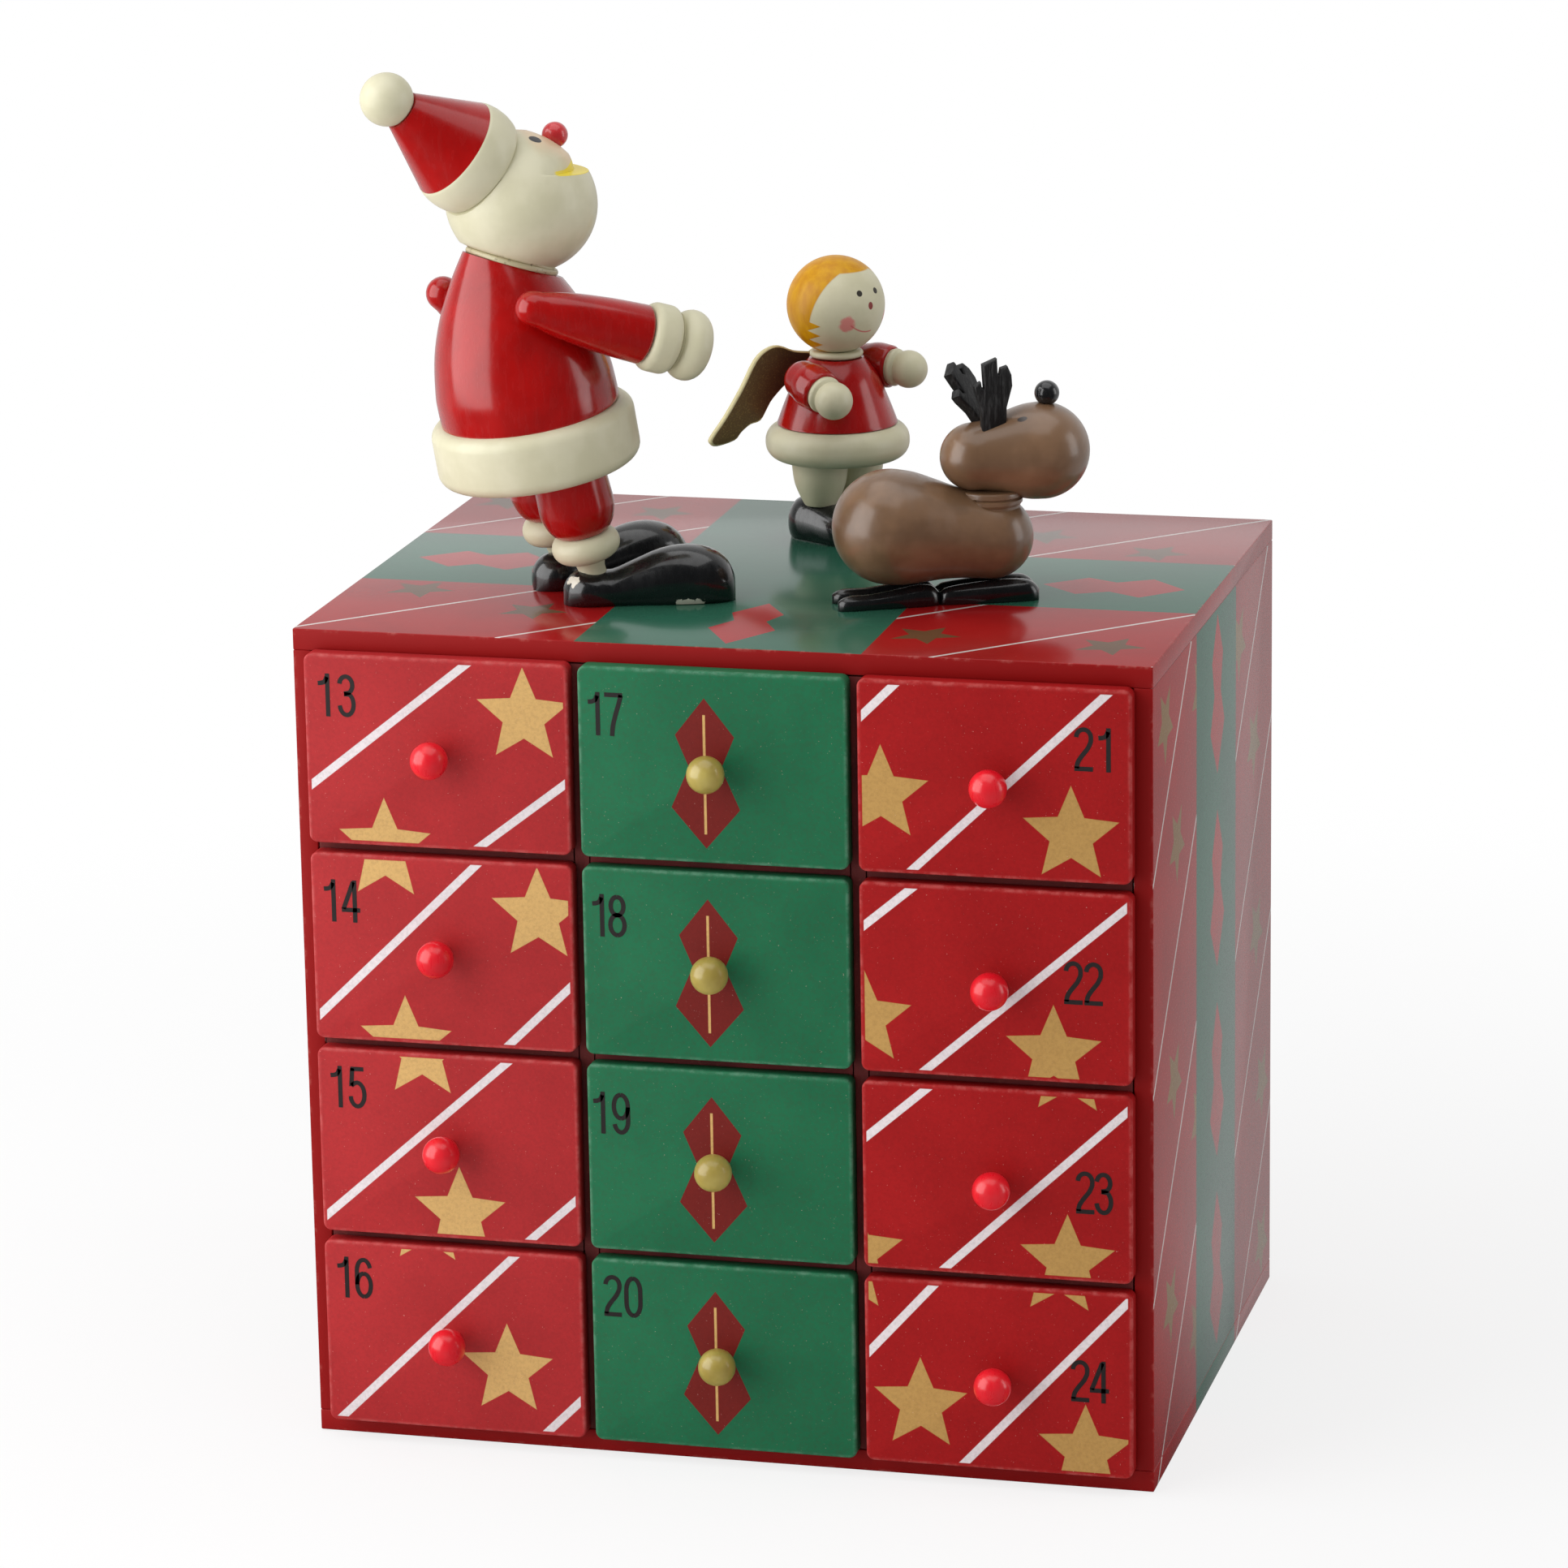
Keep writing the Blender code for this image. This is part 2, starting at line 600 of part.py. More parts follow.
def make_santa(red, cream, black, nose_red):
    figure = stand("santa", SANTA_PLACE, SANTA_TURN)
    body_up = leaning(-BODY_LEAN)
    hem_place = Vector((HEM_FORWARD, 0, HEM_LIFT))
    coat_place = hem_place + body_up * (HEM_HEIGHT + GAP)
    body_turn = pointing(body_up)
    body_ahead = leaning(90 - BODY_LEAN)
    neck_up = leaning(NECK_LEAN)
    neck_foot = NECK_DROP + NECK_RING_HEIGHT + GAP
    neck = coat_place + body_up * COAT_HEIGHT * NECK_SHARE + leaning(90 + NECK_LEAN) * NECK_FORWARD
    head_place = neck + neck_up * neck_foot
    neck_turn = pointing(neck_up)
    hat_turn = pointing(leaning(HAT_LEAN))

    def copy_of(name, profile, place, turn, turns):
        # A slightly larger copy of a turned piece, which cuts its neighbour's seat.
        return add_piece(name, turned(name, grown(profile, GAP), turns), cream, place, turn, figure)

    add_piece("santa_coat_hem", turned("hem", hem_profile(), LARGE_TURNS), cream, hem_place, body_turn, figure)
    coat = add_piece(
        "santa_coat", turned("coat", coat_profile(), LARGE_TURNS), red, coat_place, body_turn, figure
    )
    above = block(
        "above", (-COAT_RADIUS * 2, -COAT_RADIUS * 2, -neck_foot), (COAT_RADIUS * 2, COAT_RADIUS * 2, COAT_HEIGHT)
    )
    cut(coat, add_piece("above", above, red, head_place, neck_turn, figure))

    head = add_piece(
        "santa_head", turned("head", head_profile(), LARGE_TURNS), cream, head_place, neck_turn, figure
    )
    reach = HEAD_RADIUS * 2
    over = block("over", (-reach, -reach, HAT_START - GAP), (reach, reach, reach))
    cut(head, add_piece("over", over, cream, head_place, hat_turn, figure))
    nose_way = leaning(90 - SANTA_NOSE_TILT)
    nose_place = head_place + nose_way * (HEAD_RADIUS + SANTA_NOSE_RADIUS - SANTA_NOSE_SEAT)
    cut(head, copy_of("socket", ball(SANTA_NOSE_RADIUS, 0), nose_place, pointing(nose_way), SMALL_TURNS))
    nose = turned("nose", ball(SANTA_NOSE_RADIUS, 0, 6), SMALL_TURNS)
    add_piece("santa_nose", nose, nose_red, nose_place, pointing(nose_way), figure)
    hat = turned("hat", hat_profile(), MIDDLE_TURNS)
    add_piece("santa_hat", hat, red, head_place, hat_turn, figure)
    pompom = turned("pompom", pompom_profile(), SMALL_TURNS)
    add_piece("santa_hat_pompom", pompom, cream, head_place, hat_turn, figure)

    boot_shape = shoe_stations(BOOT_SHAPE, BOOT_LENGTH, BOOT_WIDTH, BOOT_HEIGHT)
    stance = Matrix.Rotation(math.radians(STANCE_TURN), 3, "Z")
    sides = (
        (1, "left", LEFT_BOOT_TURN, LEFT_ARM_DROP), (-1, "right", RIGHT_BOOT_TURN, RIGHT_ARM_DROP)
    )
    for side, name, boot_turn, arm_drop in sides:
        shoulder = coat_place + body_up * COAT_HEIGHT * SHOULDER_SHARE - body_ahead * SHOULDER_BACK
        shoulder.y = side * COAT_RADIUS * SHOULDER_OUT_SHARE
        arm_way = leaning(90 + arm_drop, side * ARM_SPLAY)
        sleeve = turned("sleeve", sleeve_profile(SHOULDER_RADIUS, SLEEVE_END_RADIUS, SLEEVE_LENGTH), SMALL_TURNS)
        sleeve = add_piece(f"santa_{name}_sleeve", sleeve, red, shoulder, pointing(arm_way), figure)
        cut(sleeve, copy_of("side", coat_profile(), coat_place, body_turn, LARGE_TURNS))
        mitten = turned("mitten", mitten_profile(), SMALL_TURNS)
        add_piece(f"santa_{name}_mitten", mitten, cream, shoulder, pointing(arm_way), figure)

        ankle = stance @ Vector((0, side * ANKLE_SPACING / 2, 0)) + Vector((ANKLE_FORWARD, 0, ANKLE_FOOT))
        leg_turn = pointing(leaning(-LEG_LEAN))
        leg = turned("leg", leg_profile(), SMALL_TURNS)
        leg = add_piece(f"santa_{name}_leg", leg, red, ankle, leg_turn, figure)
        cut(leg, copy_of("under_hem", hem_profile(), hem_place, body_turn, LARGE_TURNS))
        heading = math.radians(boot_turn)
        boot_facing = Matrix.Rotation(heading, 3, "Z")
        heel = ankle - boot_facing @ Vector((ANKLE_FROM_HEEL, 0, 0))
        heel.z = GAP
        boot_mesh = shoe("boot", boot_shape)
        boot = add_piece(f"santa_{name}_boot", boot_mesh, black, heel, boot_facing, figure)
        cut(boot, copy_of("ankle_hole", leg_profile(), ankle, leg_turn, SMALL_TURNS))


# Angel

def dress_profile():
    round_off = DRESS_TOP_RADIUS * 0.12
    return [
        (0, 0), (DRESS_RADIUS, 0), ((DRESS_RADIUS + DRESS_TOP_RADIUS) / 2 + round_off, DRESS_HEIGHT / 2),
        (DRESS_TOP_RADIUS, DRESS_HEIGHT - round_off), (DRESS_TOP_RADIUS - round_off, DRESS_HEIGHT),
        (0, DRESS_HEIGHT),
    ]


def angel_head_profile():
    edge = ANGEL_NECK_HEIGHT / 2
    middle = ANGEL_NECK_HEIGHT + ANGEL_HEAD_RADIUS - ANGEL_HEAD_SEAT
    drop = middle - ANGEL_NECK_HEIGHT
    low_degrees = -math.degrees(math.asin(drop / ANGEL_HEAD_RADIUS))
    profile = [(0, 0)] + arc(ANGEL_NECK_RADIUS - edge, edge, edge, edge, -90, 90, 2)
    return profile + arc(0, middle, ANGEL_HEAD_RADIUS, ANGEL_HEAD_RADIUS, low_degrees, 90, 9)


def angel_arm_profile():
    profile = sleeve_profile(ANGEL_SHOULDER_RADIUS, ANGEL_SLEEVE_END_RADIUS, ANGEL_SLEEVE_LENGTH)[:-1]
    wrist = ANGEL_SLEEVE_LENGTH + ANGEL_WRIST_LENGTH
    neck = ANGEL_WRIST_RADIUS * 0.85
    drop = math.sqrt(ANGEL_HAND_RADIUS ** 2 - neck ** 2)
    low_degrees = -math.degrees(math.asin(drop / ANGEL_HAND_RADIUS))
    profile += [(ANGEL_WRIST_RADIUS, ANGEL_SLEEVE_LENGTH), (ANGEL_WRIST_RADIUS, wrist)]
    return profile + arc(0, wrist + drop, ANGEL_HAND_RADIUS, ANGEL_HAND_RADIUS, low_degrees, 90, 7)


def wing_mesh():
    # Both wings in one sheet: shares of the span and of the height, from the middle of the back.
    shares = (
        (0.0, 0.10), (0.16, 0.07), (0.31, 0.0), (0.43, 0.02), (0.55, 0.13), (0.69, 0.41), (0.86, 0.70),
        (1.0, 0.90), (1.0, 0.97), (0.94, 1.0), (0.77, 0.96), (0.70, 0.88), (0.61, 0.81), (0.51, 0.78),
        (0.44, 0.66), (0.38, 0.56), (0.22, 0.40), (0.0, 0.28),
    )
    right = [(WING_SPAN * along, -WING_HEIGHT * down) for along, down in shares]
    left = [(-along, down) for along, down in reversed(right[1:-1])]
    mesh = extruded("wings", right + left, WING_THICKNESS)
    sweep = math.tan(math.radians(WING_SWEEP))
    for point in mesh.vertices:
        away = abs(point.co.x)
        back = DRESS_TOP_RADIUS + WING_BACK + sweep * away
        point.co = Vector((point.co.y - back, point.co.x, point.co.z))
    flipped = bmesh.new()
    flipped.from_mesh(mesh)
    bmesh.ops.triangulate(flipped, faces=flipped.faces)
    bmesh.ops.recalc_face_normals(flipped, faces=flipped.faces)
    flipped.to_mesh(mesh)
    flipped.free()
    return mesh


def make_angel(red, cream, black, bronze):
    figure = stand("angel", ANGEL_PLACE, ANGEL_TURN)
    dress_lift = ANGEL_HEM_LIFT + ANGEL_HEM_HEIGHT + GAP
    dress_top = dress_lift + DRESS_HEIGHT
    hem = turned("hem", rounded_disc(ANGEL_HEM_RADIUS, 0, ANGEL_HEM_HEIGHT, ANGEL_HEM_HEIGHT * 0.44), LARGE_TURNS)
    add_piece("angel_dress_hem", hem, cream, (0, 0, ANGEL_HEM_LIFT), None, figure)
    add_piece("angel_dress", turned("dress", dress_profile(), MIDDLE_TURNS), red, (0, 0, dress_lift), None, figure)
    head = turned("head", angel_head_profile(), MIDDLE_TURNS)
    add_piece("angel_head", head, cream, (0, 0, dress_top + GAP), None, figure)

    def grown_dress():
        mesh = turned("around", grown(dress_profile(), GAP), MIDDLE_TURNS)
        return add_piece("around", mesh, red, (0, 0, dress_lift), None, figure)

    sides = (
        (1, "left", LEFT_WRIST_DROP, LEFT_WRIST_SPLAY), (-1, "right", RIGHT_WRIST_DROP, RIGHT_WRIST_SPLAY)
    )
    for side, name, drop, splay in sides:
        shoulder = (
            ANGEL_SHOULDER_FORWARD, side * (DRESS_TOP_RADIUS + ANGEL_SHOULDER_OUT),
            dress_top - ANGEL_SHOULDER_DROP
        )
        arm_way = leaning(90 + drop, side * splay)
        arm = turned("arm", angel_arm_profile(), SMALL_TURNS)
        arm = add_piece(f"angel_{name}_arm", arm, red, shoulder, pointing(arm_way), figure)
        cut(arm, grown_dress())

    wings = add_piece("angel_wings", wing_mesh(), bronze, (0, 0, dress_top + WING_RISE), None, figure)
    cut(wings, grown_dress())

    leg_top = ANGEL_HEM_LIFT - GAP
    swell = ANGEL_LEG_TOP_RADIUS - ANGEL_LEG_LOW_RADIUS
    leg_shape = [(0, ANGEL_LEG_FOOT), (ANGEL_LEG_LOW_RADIUS, ANGEL_LEG_FOOT)]
    leg_shape += [(ANGEL_LEG_LOW_RADIUS + swell * 0.7, (ANGEL_LEG_FOOT + leg_top) / 2)]
    leg_shape += [(ANGEL_LEG_TOP_RADIUS, leg_top), (0, leg_top)]
    shoe_shape = shoe_stations(SHOE_SHAPE, ANGEL_SHOE_LENGTH, ANGEL_SHOE_WIDTH, ANGEL_SHOE_HEIGHT)
    half = ANGEL_LEG_SPACING / 2
    legs = add_piece("angel_legs", turned("leg", leg_shape, SMALL_TURNS), cream, (0, half, 0), None, figure)
    join(legs, add_piece("other_leg", turned("leg", leg_shape, SMALL_TURNS), cream, (0, -half, 0), None, figure))
    for side in (1, -1):
        place = (-ANGEL_SHOE_BACK, side * half, GAP)
        join(legs, add_piece("shoe", shoe("shoe", shoe_shape), black, place, None, figure))


# Reindeer

def gourd(big, big_at, waist, small, small_at):
    # Two balls on one axis that run into each other through a hollow waist.
    way = 1 if small_at > big_at else -1
    reach = abs(small_at - big_at)
    points = arc(0, 0, big, big, -90, 38, 8)
    points.append((waist, reach * 0.6))
    points += arc(0, reach, small, small, -4, 90, 6)
    profile = [(radius, big_at + way * height) for radius, height in points]
    return profile if way > 0 else profile[::-1]


def deer_body_profile():
    return gourd(DEER_RUMP_RADIUS, 0, DEER_WAIST_RADIUS, DEER_CHEST_RADIUS, DEER_CHEST_REACH)


def deer_head_profile():
    return gourd(DEER_SNOUT_RADIUS, DEER_SNOUT_REACH, DEER_THROAT_RADIUS, DEER_POLL_RADIUS, 0)


def antler_outline():
    # Shares of the width and of the height: a stem, then three broad tines.
    shares = (
        (0.36, 0.0), (0.64, 0.0), (0.78, 0.42), (1.0, 0.70), (0.98, 0.96), (0.80, 1.0), (0.72, 0.72),
        (0.66, 0.74), (0.62, 0.98), (0.36, 1.0), (0.33, 0.66), (0.27, 0.64), (0.18, 0.90), (0.0, 0.86),
        (0.08, 0.52), (0.30, 0.36),
    )
    return [(ANTLER_WIDTH * (across - 0.5), ANTLER_HEIGHT * up) for across, up in shares]


def deer_legs_mesh():
    # Lying flat: a pair of legs ahead and a pair behind, joined under the body. Shares of the
    # reach and of the spread down one side, from the fork ahead to the fork behind.
    ahead = ((0.62, 0.0), (0.68, 0.10), (0.95, 0.18), (1.0, 0.50), (0.94, 0.82), (0.78, 1.0), (0.16, 0.94))
    behind = ((-0.04, 0.55), (-0.16, 0.94), (-0.80, 1.0), (-0.95, 0.84), (-1.0, 0.52), (-0.95, 0.20), (-0.64, 0.12))
    side = [(DEER_REACH_AHEAD * along, DEER_LEG_SPREAD * out) for along, out in ahead]
    side += [(DEER_REACH_BACK * along, DEER_LEG_SPREAD * out) for along, out in behind]
    fork = (-DEER_REACH_BACK * 0.58, 0)
    outline = side + [fork] + [(along, -out) for along, out in reversed(side[1:])]
    mesh = extruded("legs", outline, DEER_LEG_HEIGHT)
    shape = bmesh.new()
    shape.from_mesh(mesh)
    bmesh.ops.rotate(shape, cent=(0, 0, 0), matrix=Matrix.Rotation(math.radians(90), 3, "X"), verts=shape.verts)
    bmesh.ops.translate(shape, vec=(0, 0, GAP + DEER_LEG_HEIGHT / 2), verts=shape.verts)
    rim = [edge for edge in shape.edges if all(vert.co.z > DEER_LEG_HEIGHT for vert in edge.verts)]
    bmesh.ops.bevel(shape, geom=rim, offset=DEER_LEG_EASE, segments=2, affect="EDGES", profile=0.5)
    shape.to_mesh(mesh)
    shape.free()
    smooth(mesh, 50.0)
    return mesh


def make_deer(brown, black, nose_dark):
    figure = stand("reindeer", DEER_PLACE, DEER_TURN)
    belly = GAP + DEER_LEG_HEIGHT - DEER_BODY_SEAT
    rump_lift = belly + DEER_RUMP_RADIUS
    chest_lift = belly + DEER_CHEST_RADIUS
    body_drop = math.degrees(math.asin((rump_lift - chest_lift) / DEER_CHEST_REACH))
    rump = Vector((DEER_RUMP_FORWARD, 0, rump_lift))
    body_turn = pointing(leaning(90 + body_drop))
    body = turned("body", deer_body_profile(), MIDDLE_TURNS)
    body = add_piece("reindeer_body", body, brown, rump, body_turn, figure)
    collar_top = chest_lift + DEER_CHEST_RADIUS + DEER_COLLAR_RISE
    collar = rounded_disc(DEER_COLLAR_RADIUS, chest_lift, collar_top, DEER_COLLAR_RADIUS * 0.1, 2)
    collar_forward = DEER_RUMP_FORWARD + DEER_CHEST_REACH * math.cos(math.radians(body_drop))
    collar_place = (collar_forward, 0, 0)
    join(body, add_piece("collar", turned("collar", collar, SMALL_TURNS), brown, collar_place, None, figure))

    poll = Vector((collar_forward - DEER_POLL_BACK, 0, collar_top + DEER_POLL_RISE))
    head_way = leaning(90 - DEER_HEAD_LEAN)
    head_turn = pointing(head_way)
    head = turned("head", deer_head_profile(), MIDDLE_TURNS)
    head = add_piece("reindeer_head", head, brown, poll, head_turn, figure)
    seat = turned("seat", grown(collar, GAP), SMALL_TURNS)
    cut(head, add_piece("seat", seat, brown, collar_place, None, figure))
    under = turned("under", grown(deer_body_profile(), GAP), MIDDLE_TURNS)
    cut(head, add_piece("under", under, brown, rump, body_turn, figure))
    snout = poll + head_way * DEER_SNOUT_REACH
    nose_place = snout + leaning(DEER_NOSE_LEAN) * (DEER_SNOUT_RADIUS + DEER_NOSE_RADIUS - DEER_NOSE_SEAT)
    socket = turned("socket", grown(ball(DEER_NOSE_RADIUS, 0), GAP), SMALL_TURNS)
    cut(head, add_piece("socket", socket, brown, nose_place, None, figure))
    add_piece("reindeer_nose", turned("nose", ball(DEER_NOSE_RADIUS, 0, 6), SMALL_TURNS), nose_dark, nose_place, None, figure)

    for side, name, lean in ((1, "left", LEFT_ANTLER_LEAN), (-1, "right", RIGHT_ANTLER_LEAN)):
        foot = poll.z + DEER_THROAT_RADIUS - ANTLER_SINK
        place = (poll.x + ANTLER_AHEAD, side * ANTLER_SPACING / 2, foot)
        antler = extruded("antler", antler_outline(), ANTLER_THICKNESS)
        antler = add_piece(f"reindeer_{name}_antler", antler, black, place, None, figure)
        antler.rotation_euler = (0, math.radians(lean), 0)
        around = turned("around", grown(deer_head_profile(), GAP), MIDDLE_TURNS)
        cut(antler, add_piece("around", around, brown, poll, head_turn, figure))

    legs = add_piece("reindeer_legs", deer_legs_mesh(), black, (0, 0, 0), None, figure)
    seat = turned("seat", grown(deer_body_profile(), GAP), MIDDLE_TURNS)
    cut(legs, add_piece("seat", seat, brown, rump, body_turn, figure))


clear_scene()
case_red = paint("case_red", (0.36, 0.02, 0.03), 0.35)
drawer_red = paint("drawer_red", (0.40, 0.025, 0.035), 0.5)
drawer_green = paint("drawer_green", (0.02, 0.17, 0.08), 0.5)
coat_red = paint("coat_red", (0.45, 0.01, 0.01), 0.2)
bead_red = paint("bead_red", (0.70, 0.03, 0.05), 0.3)
cream_paint = paint("cream_paint", (0.68, 0.63, 0.47), 0.45)
black_paint = paint("black_paint", (0.01, 0.01, 0.012), 0.15)
brown_paint = paint("brown_paint", (0.16, 0.09, 0.055), 0.35)
bronze_paint = paint("bronze_paint", (0.30, 0.22, 0.08), 0.4, 0.7)

make_case(case_red)
make_drawers(drawer_red, drawer_green)
make_santa(coat_red, cream_paint, black_paint, bead_red)
make_angel(coat_red, cream_paint, black_paint, bronze_paint)
make_deer(brown_paint, black_paint, black_paint)
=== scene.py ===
import math

import bmesh
import bpy
from mathutils import Matrix, Vector


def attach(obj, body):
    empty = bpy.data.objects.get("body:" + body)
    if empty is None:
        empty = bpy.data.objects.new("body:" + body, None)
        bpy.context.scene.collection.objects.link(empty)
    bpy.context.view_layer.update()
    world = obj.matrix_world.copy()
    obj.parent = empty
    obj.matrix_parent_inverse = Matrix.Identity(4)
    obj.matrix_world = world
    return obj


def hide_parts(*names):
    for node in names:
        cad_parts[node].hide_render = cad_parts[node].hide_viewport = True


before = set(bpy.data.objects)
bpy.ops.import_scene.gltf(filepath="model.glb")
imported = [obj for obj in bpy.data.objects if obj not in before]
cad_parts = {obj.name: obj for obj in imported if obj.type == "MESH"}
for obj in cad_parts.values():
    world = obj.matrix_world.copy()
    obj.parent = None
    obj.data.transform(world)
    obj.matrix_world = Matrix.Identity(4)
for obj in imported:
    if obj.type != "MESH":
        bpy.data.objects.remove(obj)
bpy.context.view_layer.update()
bpy.context.scene.view_settings.view_transform = "Standard"
print("frame loaded:", len(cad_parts), "nodes")

mm = 0.001
caseSize = {"width": 180, "depth": 136, "height": 175}
glueGap = 0.3
soleGap = 0.02


# Shader maths: a link is one output of a node, and sums on it add Math nodes

class Link:
    def __init__(self, nodes, socket):
        self.nodes = nodes
        self.socket = socket

    def __add__(self, other):
        return self.nodes.maths("ADD", self, other)

    def __radd__(self, other):
        return self.nodes.maths("ADD", other, self)

    def __sub__(self, other):
        return self.nodes.maths("SUBTRACT", self, other)

    def __rsub__(self, other):
        return self.nodes.maths("SUBTRACT", other, self)

    def __mul__(self, other):
        return self.nodes.maths("MULTIPLY", self, other)

    def __rmul__(self, other):
        return self.nodes.maths("MULTIPLY", other, self)

    def __truediv__(self, other):
        return self.nodes.maths("DIVIDE", self, other)

    def __rtruediv__(self, other):
        return self.nodes.maths("DIVIDE", other, self)

    def __abs__(self):
        return self.nodes.maths("ABSOLUTE", self)


def screenLight(colour):
    # From the 0 to 255 of a screen to the light that Blender mixes.
    shares = [value / 255 for value in colour]
    light = [share / 12.92 if share <= 0.04045 else ((share + 0.055) / 1.055) ** 2.4 for share in shares]
    return (*light, 1.0)


class Nodes:
    # The nodes of a material or of the world. A colour of three numbers is one of a screen.
    def __init__(self, tree):
        self.tree = tree

    def feed(self, socket, value):
        if isinstance(value, Link):
            self.tree.links.new(value.socket, socket)
        elif socket.type == "RGBA" and len(value) == 3:
            socket.default_value = screenLight(value)
        else:
            socket.default_value = value

    def node(self, kind, settings=None, values=None, output=0):
        made = self.tree.nodes.new(kind)
        for name, value in (settings or {}).items():
            setattr(made, name, value)
        for socket, value in (values or {}).items():
            self.feed(made.inputs[socket], value)
        return Link(self, made.outputs[output])

    def maths(self, operation, *values):
        return self.node("ShaderNodeMath", {"operation": operation}, dict(enumerate(values)))

    def either(self, *masks):
        found = masks[0]
        for mask in masks[1:]:
            found = self.maths("MAXIMUM", found, mask)
        return found

    def axes(self, spot):
        split = self.node("ShaderNodeSeparateXYZ", None, {0: spot})
        return [Link(self, socket) for socket in split.socket.node.outputs]

    def rays(self):
        # Whether the camera sees a thing directly, and whether it sees it mirrored.
        path = self.node("ShaderNodeLightPath").socket.node.outputs
        seen = self.either(Link(self, path["Is Camera Ray"]), Link(self, path["Is Transmission Ray"]))
        return seen, Link(self, path["Is Glossy Ray"])


class Finish(Nodes):
    def __init__(self, name):
        self.material = bpy.data.materials.new(name)
        self.material.use_nodes = True
        super().__init__(self.material.node_tree)
        self.shader = self.tree.nodes["Principled BSDF"]
        # Where the surface is on the object, in millimetres.
        spot = self.node("ShaderNodeTexCoord", output="Object")
        self.spot = self.vector("SCALE", {0: spot, "Scale": 1000})

    def vector(self, operation, values, output=0):
        return self.node("ShaderNodeVectorMath", {"operation": operation}, values, output)

    def distance(self, spot, other):
        return self.vector("DISTANCE", {0: spot, 1: tuple(other)}, "Value")

    def away(self, centre):
        return self.vector("SUBTRACT", {0: self.spot, 1: tuple(centre)})

    def reach(self, way, direction):
        # How far a way leads in one direction.
        return self.vector("DOT_PRODUCT", {0: way, 1: tuple(direction)}, "Value")

    def figureAxes(self, away, stance):
        # A way from a point of a figure, as how far ahead of it, to its left and up.
        return [self.reach(away, stance.to_3x3() @ axis) for axis in Matrix.Identity(3)]

    def point(self, x, y, z=0.0):
        return self.node("ShaderNodeCombineXYZ", None, {0: x, 1: y, 2: z})

    def noise(self, size, detail=3.0, roughness=0.55, squeeze=None):
        # Size is the width of one blotch in millimetres. A low squeeze draws it out along an axis.
        spot = self.vector("MULTIPLY", {0: self.spot, 1: squeeze}) if squeeze else self.spot
        values = {"Vector": spot, "Scale": 1 / size, "Detail": detail, "Roughness": roughness}
        return self.node("ShaderNodeTexNoise", None, values)

    def ease(self, value, low, high):
        # 0 below low, 1 above high, and the other way where low is the larger.
        settings = {"interpolation_type": "SMOOTHSTEP"}
        return self.node("ShaderNodeMapRange", settings, {"Value": value, "From Min": low, "From Max": high})

    def between(self, value, low, high, soft=0.1):
        return self.ease(value, low - soft, low + soft) * self.ease(value, high + soft, high - soft)

    def blend(self, mask, first, second):
        return self.node("ShaderNodeMix", {"data_type": "RGBA"}, {0: mask, 6: first, 7: second}, 2)

    def brushed(self, tone, patch, bristle, high):
        # The two tones of a paint in soft patches. The two noises serve its relief.
        broad, fine = self.noise(patch, 3), self.noise(bristle, 4, 0.6)
        self.colour = self.blend(self.ease(broad, 0.35, high), tone["deep"], tone["light"])
        return broad, fine

    def cover(self, mask, colour):
        # Lays a colour over the paint so far.
        self.colour = self.blend(mask, self.colour, colour)

    def bump(self, height, depth, strength=1.0):
        # Depth in millimetres is how far a height of 1 stands out.
        values = {"Strength": strength, "Distance": depth * mm, "Height": height}
        return self.node("ShaderNodeBump", None, values)

    def wear(self, **values):
        for name, value in {"Base_Color": self.colour, **values}.items():
            self.feed(self.shader.inputs[name.replace("_", " ")], value)
        return self.material


# Shapes that are printed on the paper, as masks of 0 and 1

def starPrint(finish, flat, across, up, radius, tilt=0.0):
    inner, tenth = radius * 0.45, math.pi / 5
    edge = Vector((inner * math.sin(tenth), radius - inner * math.cos(tenth))).normalized()
    lean, reach = math.atan2(edge.y, edge.x), radius * edge.x
    away = finish.vector("SUBTRACT", {0: flat, 1: (across, up, 0)})
    x, y = finish.axes(away)[:2]
    around = finish.maths("ARCTAN2", x, y) - math.radians(tilt)
    folded = finish.maths("PINGPONG", around, tenth)
    outside = finish.vector("LENGTH", {0: away}, "Value") * finish.maths("COSINE", folded - lean)
    return finish.ease(outside, reach + 0.09, reach - 0.09)


def linePrint(finish, off, width):
    return finish.ease(off, width / 2 + 0.08, width / 2 - 0.08)


def stripePrint(finish, x, y, line, width):
    ax, ay, bx, by = line
    length = math.hypot(bx - ax, by - ay)
    nx, ny = (by - ay) / length, (ax - bx) / length
    return linePrint(finish, abs(x * nx + y * ny - (ax * nx + ay * ny)), width)


def doubleDiamond(finish, along, across, shape):
    # A small diamond that runs into a big one. Along counts from the small one's tip.
    start, small, waist, big, end = shape["along"]
    smallHalf, waistHalf, bigHalf = shape["half"]
    off = abs(across)
    rise = (along - start) * (smallHalf / (small - start))
    fall = smallHalf - (along - small) * ((smallHalf - waistHalf) / (waist - small))
    swell = bigHalf + (along - big) * ((bigHalf - waistHalf) / (big - waist))
    shrink = (end - along) * (bigHalf / (end - big))
    both = finish.either(finish.maths("MINIMUM", rise, fall), finish.maths("MINIMUM", swell, shrink))
    return finish.ease(both - off, -0.07, 0.07)


# Modelling helpers

def only(*pieces):
    bpy.ops.object.select_all(action="DESELECT")
    for piece in pieces:
        piece.select_set(True)
    bpy.context.view_layer.objects.active = pieces[0]


def joined(pieces):
    only(*pieces)
    if len(pieces) > 1:
        bpy.ops.object.join()
    return pieces[0]


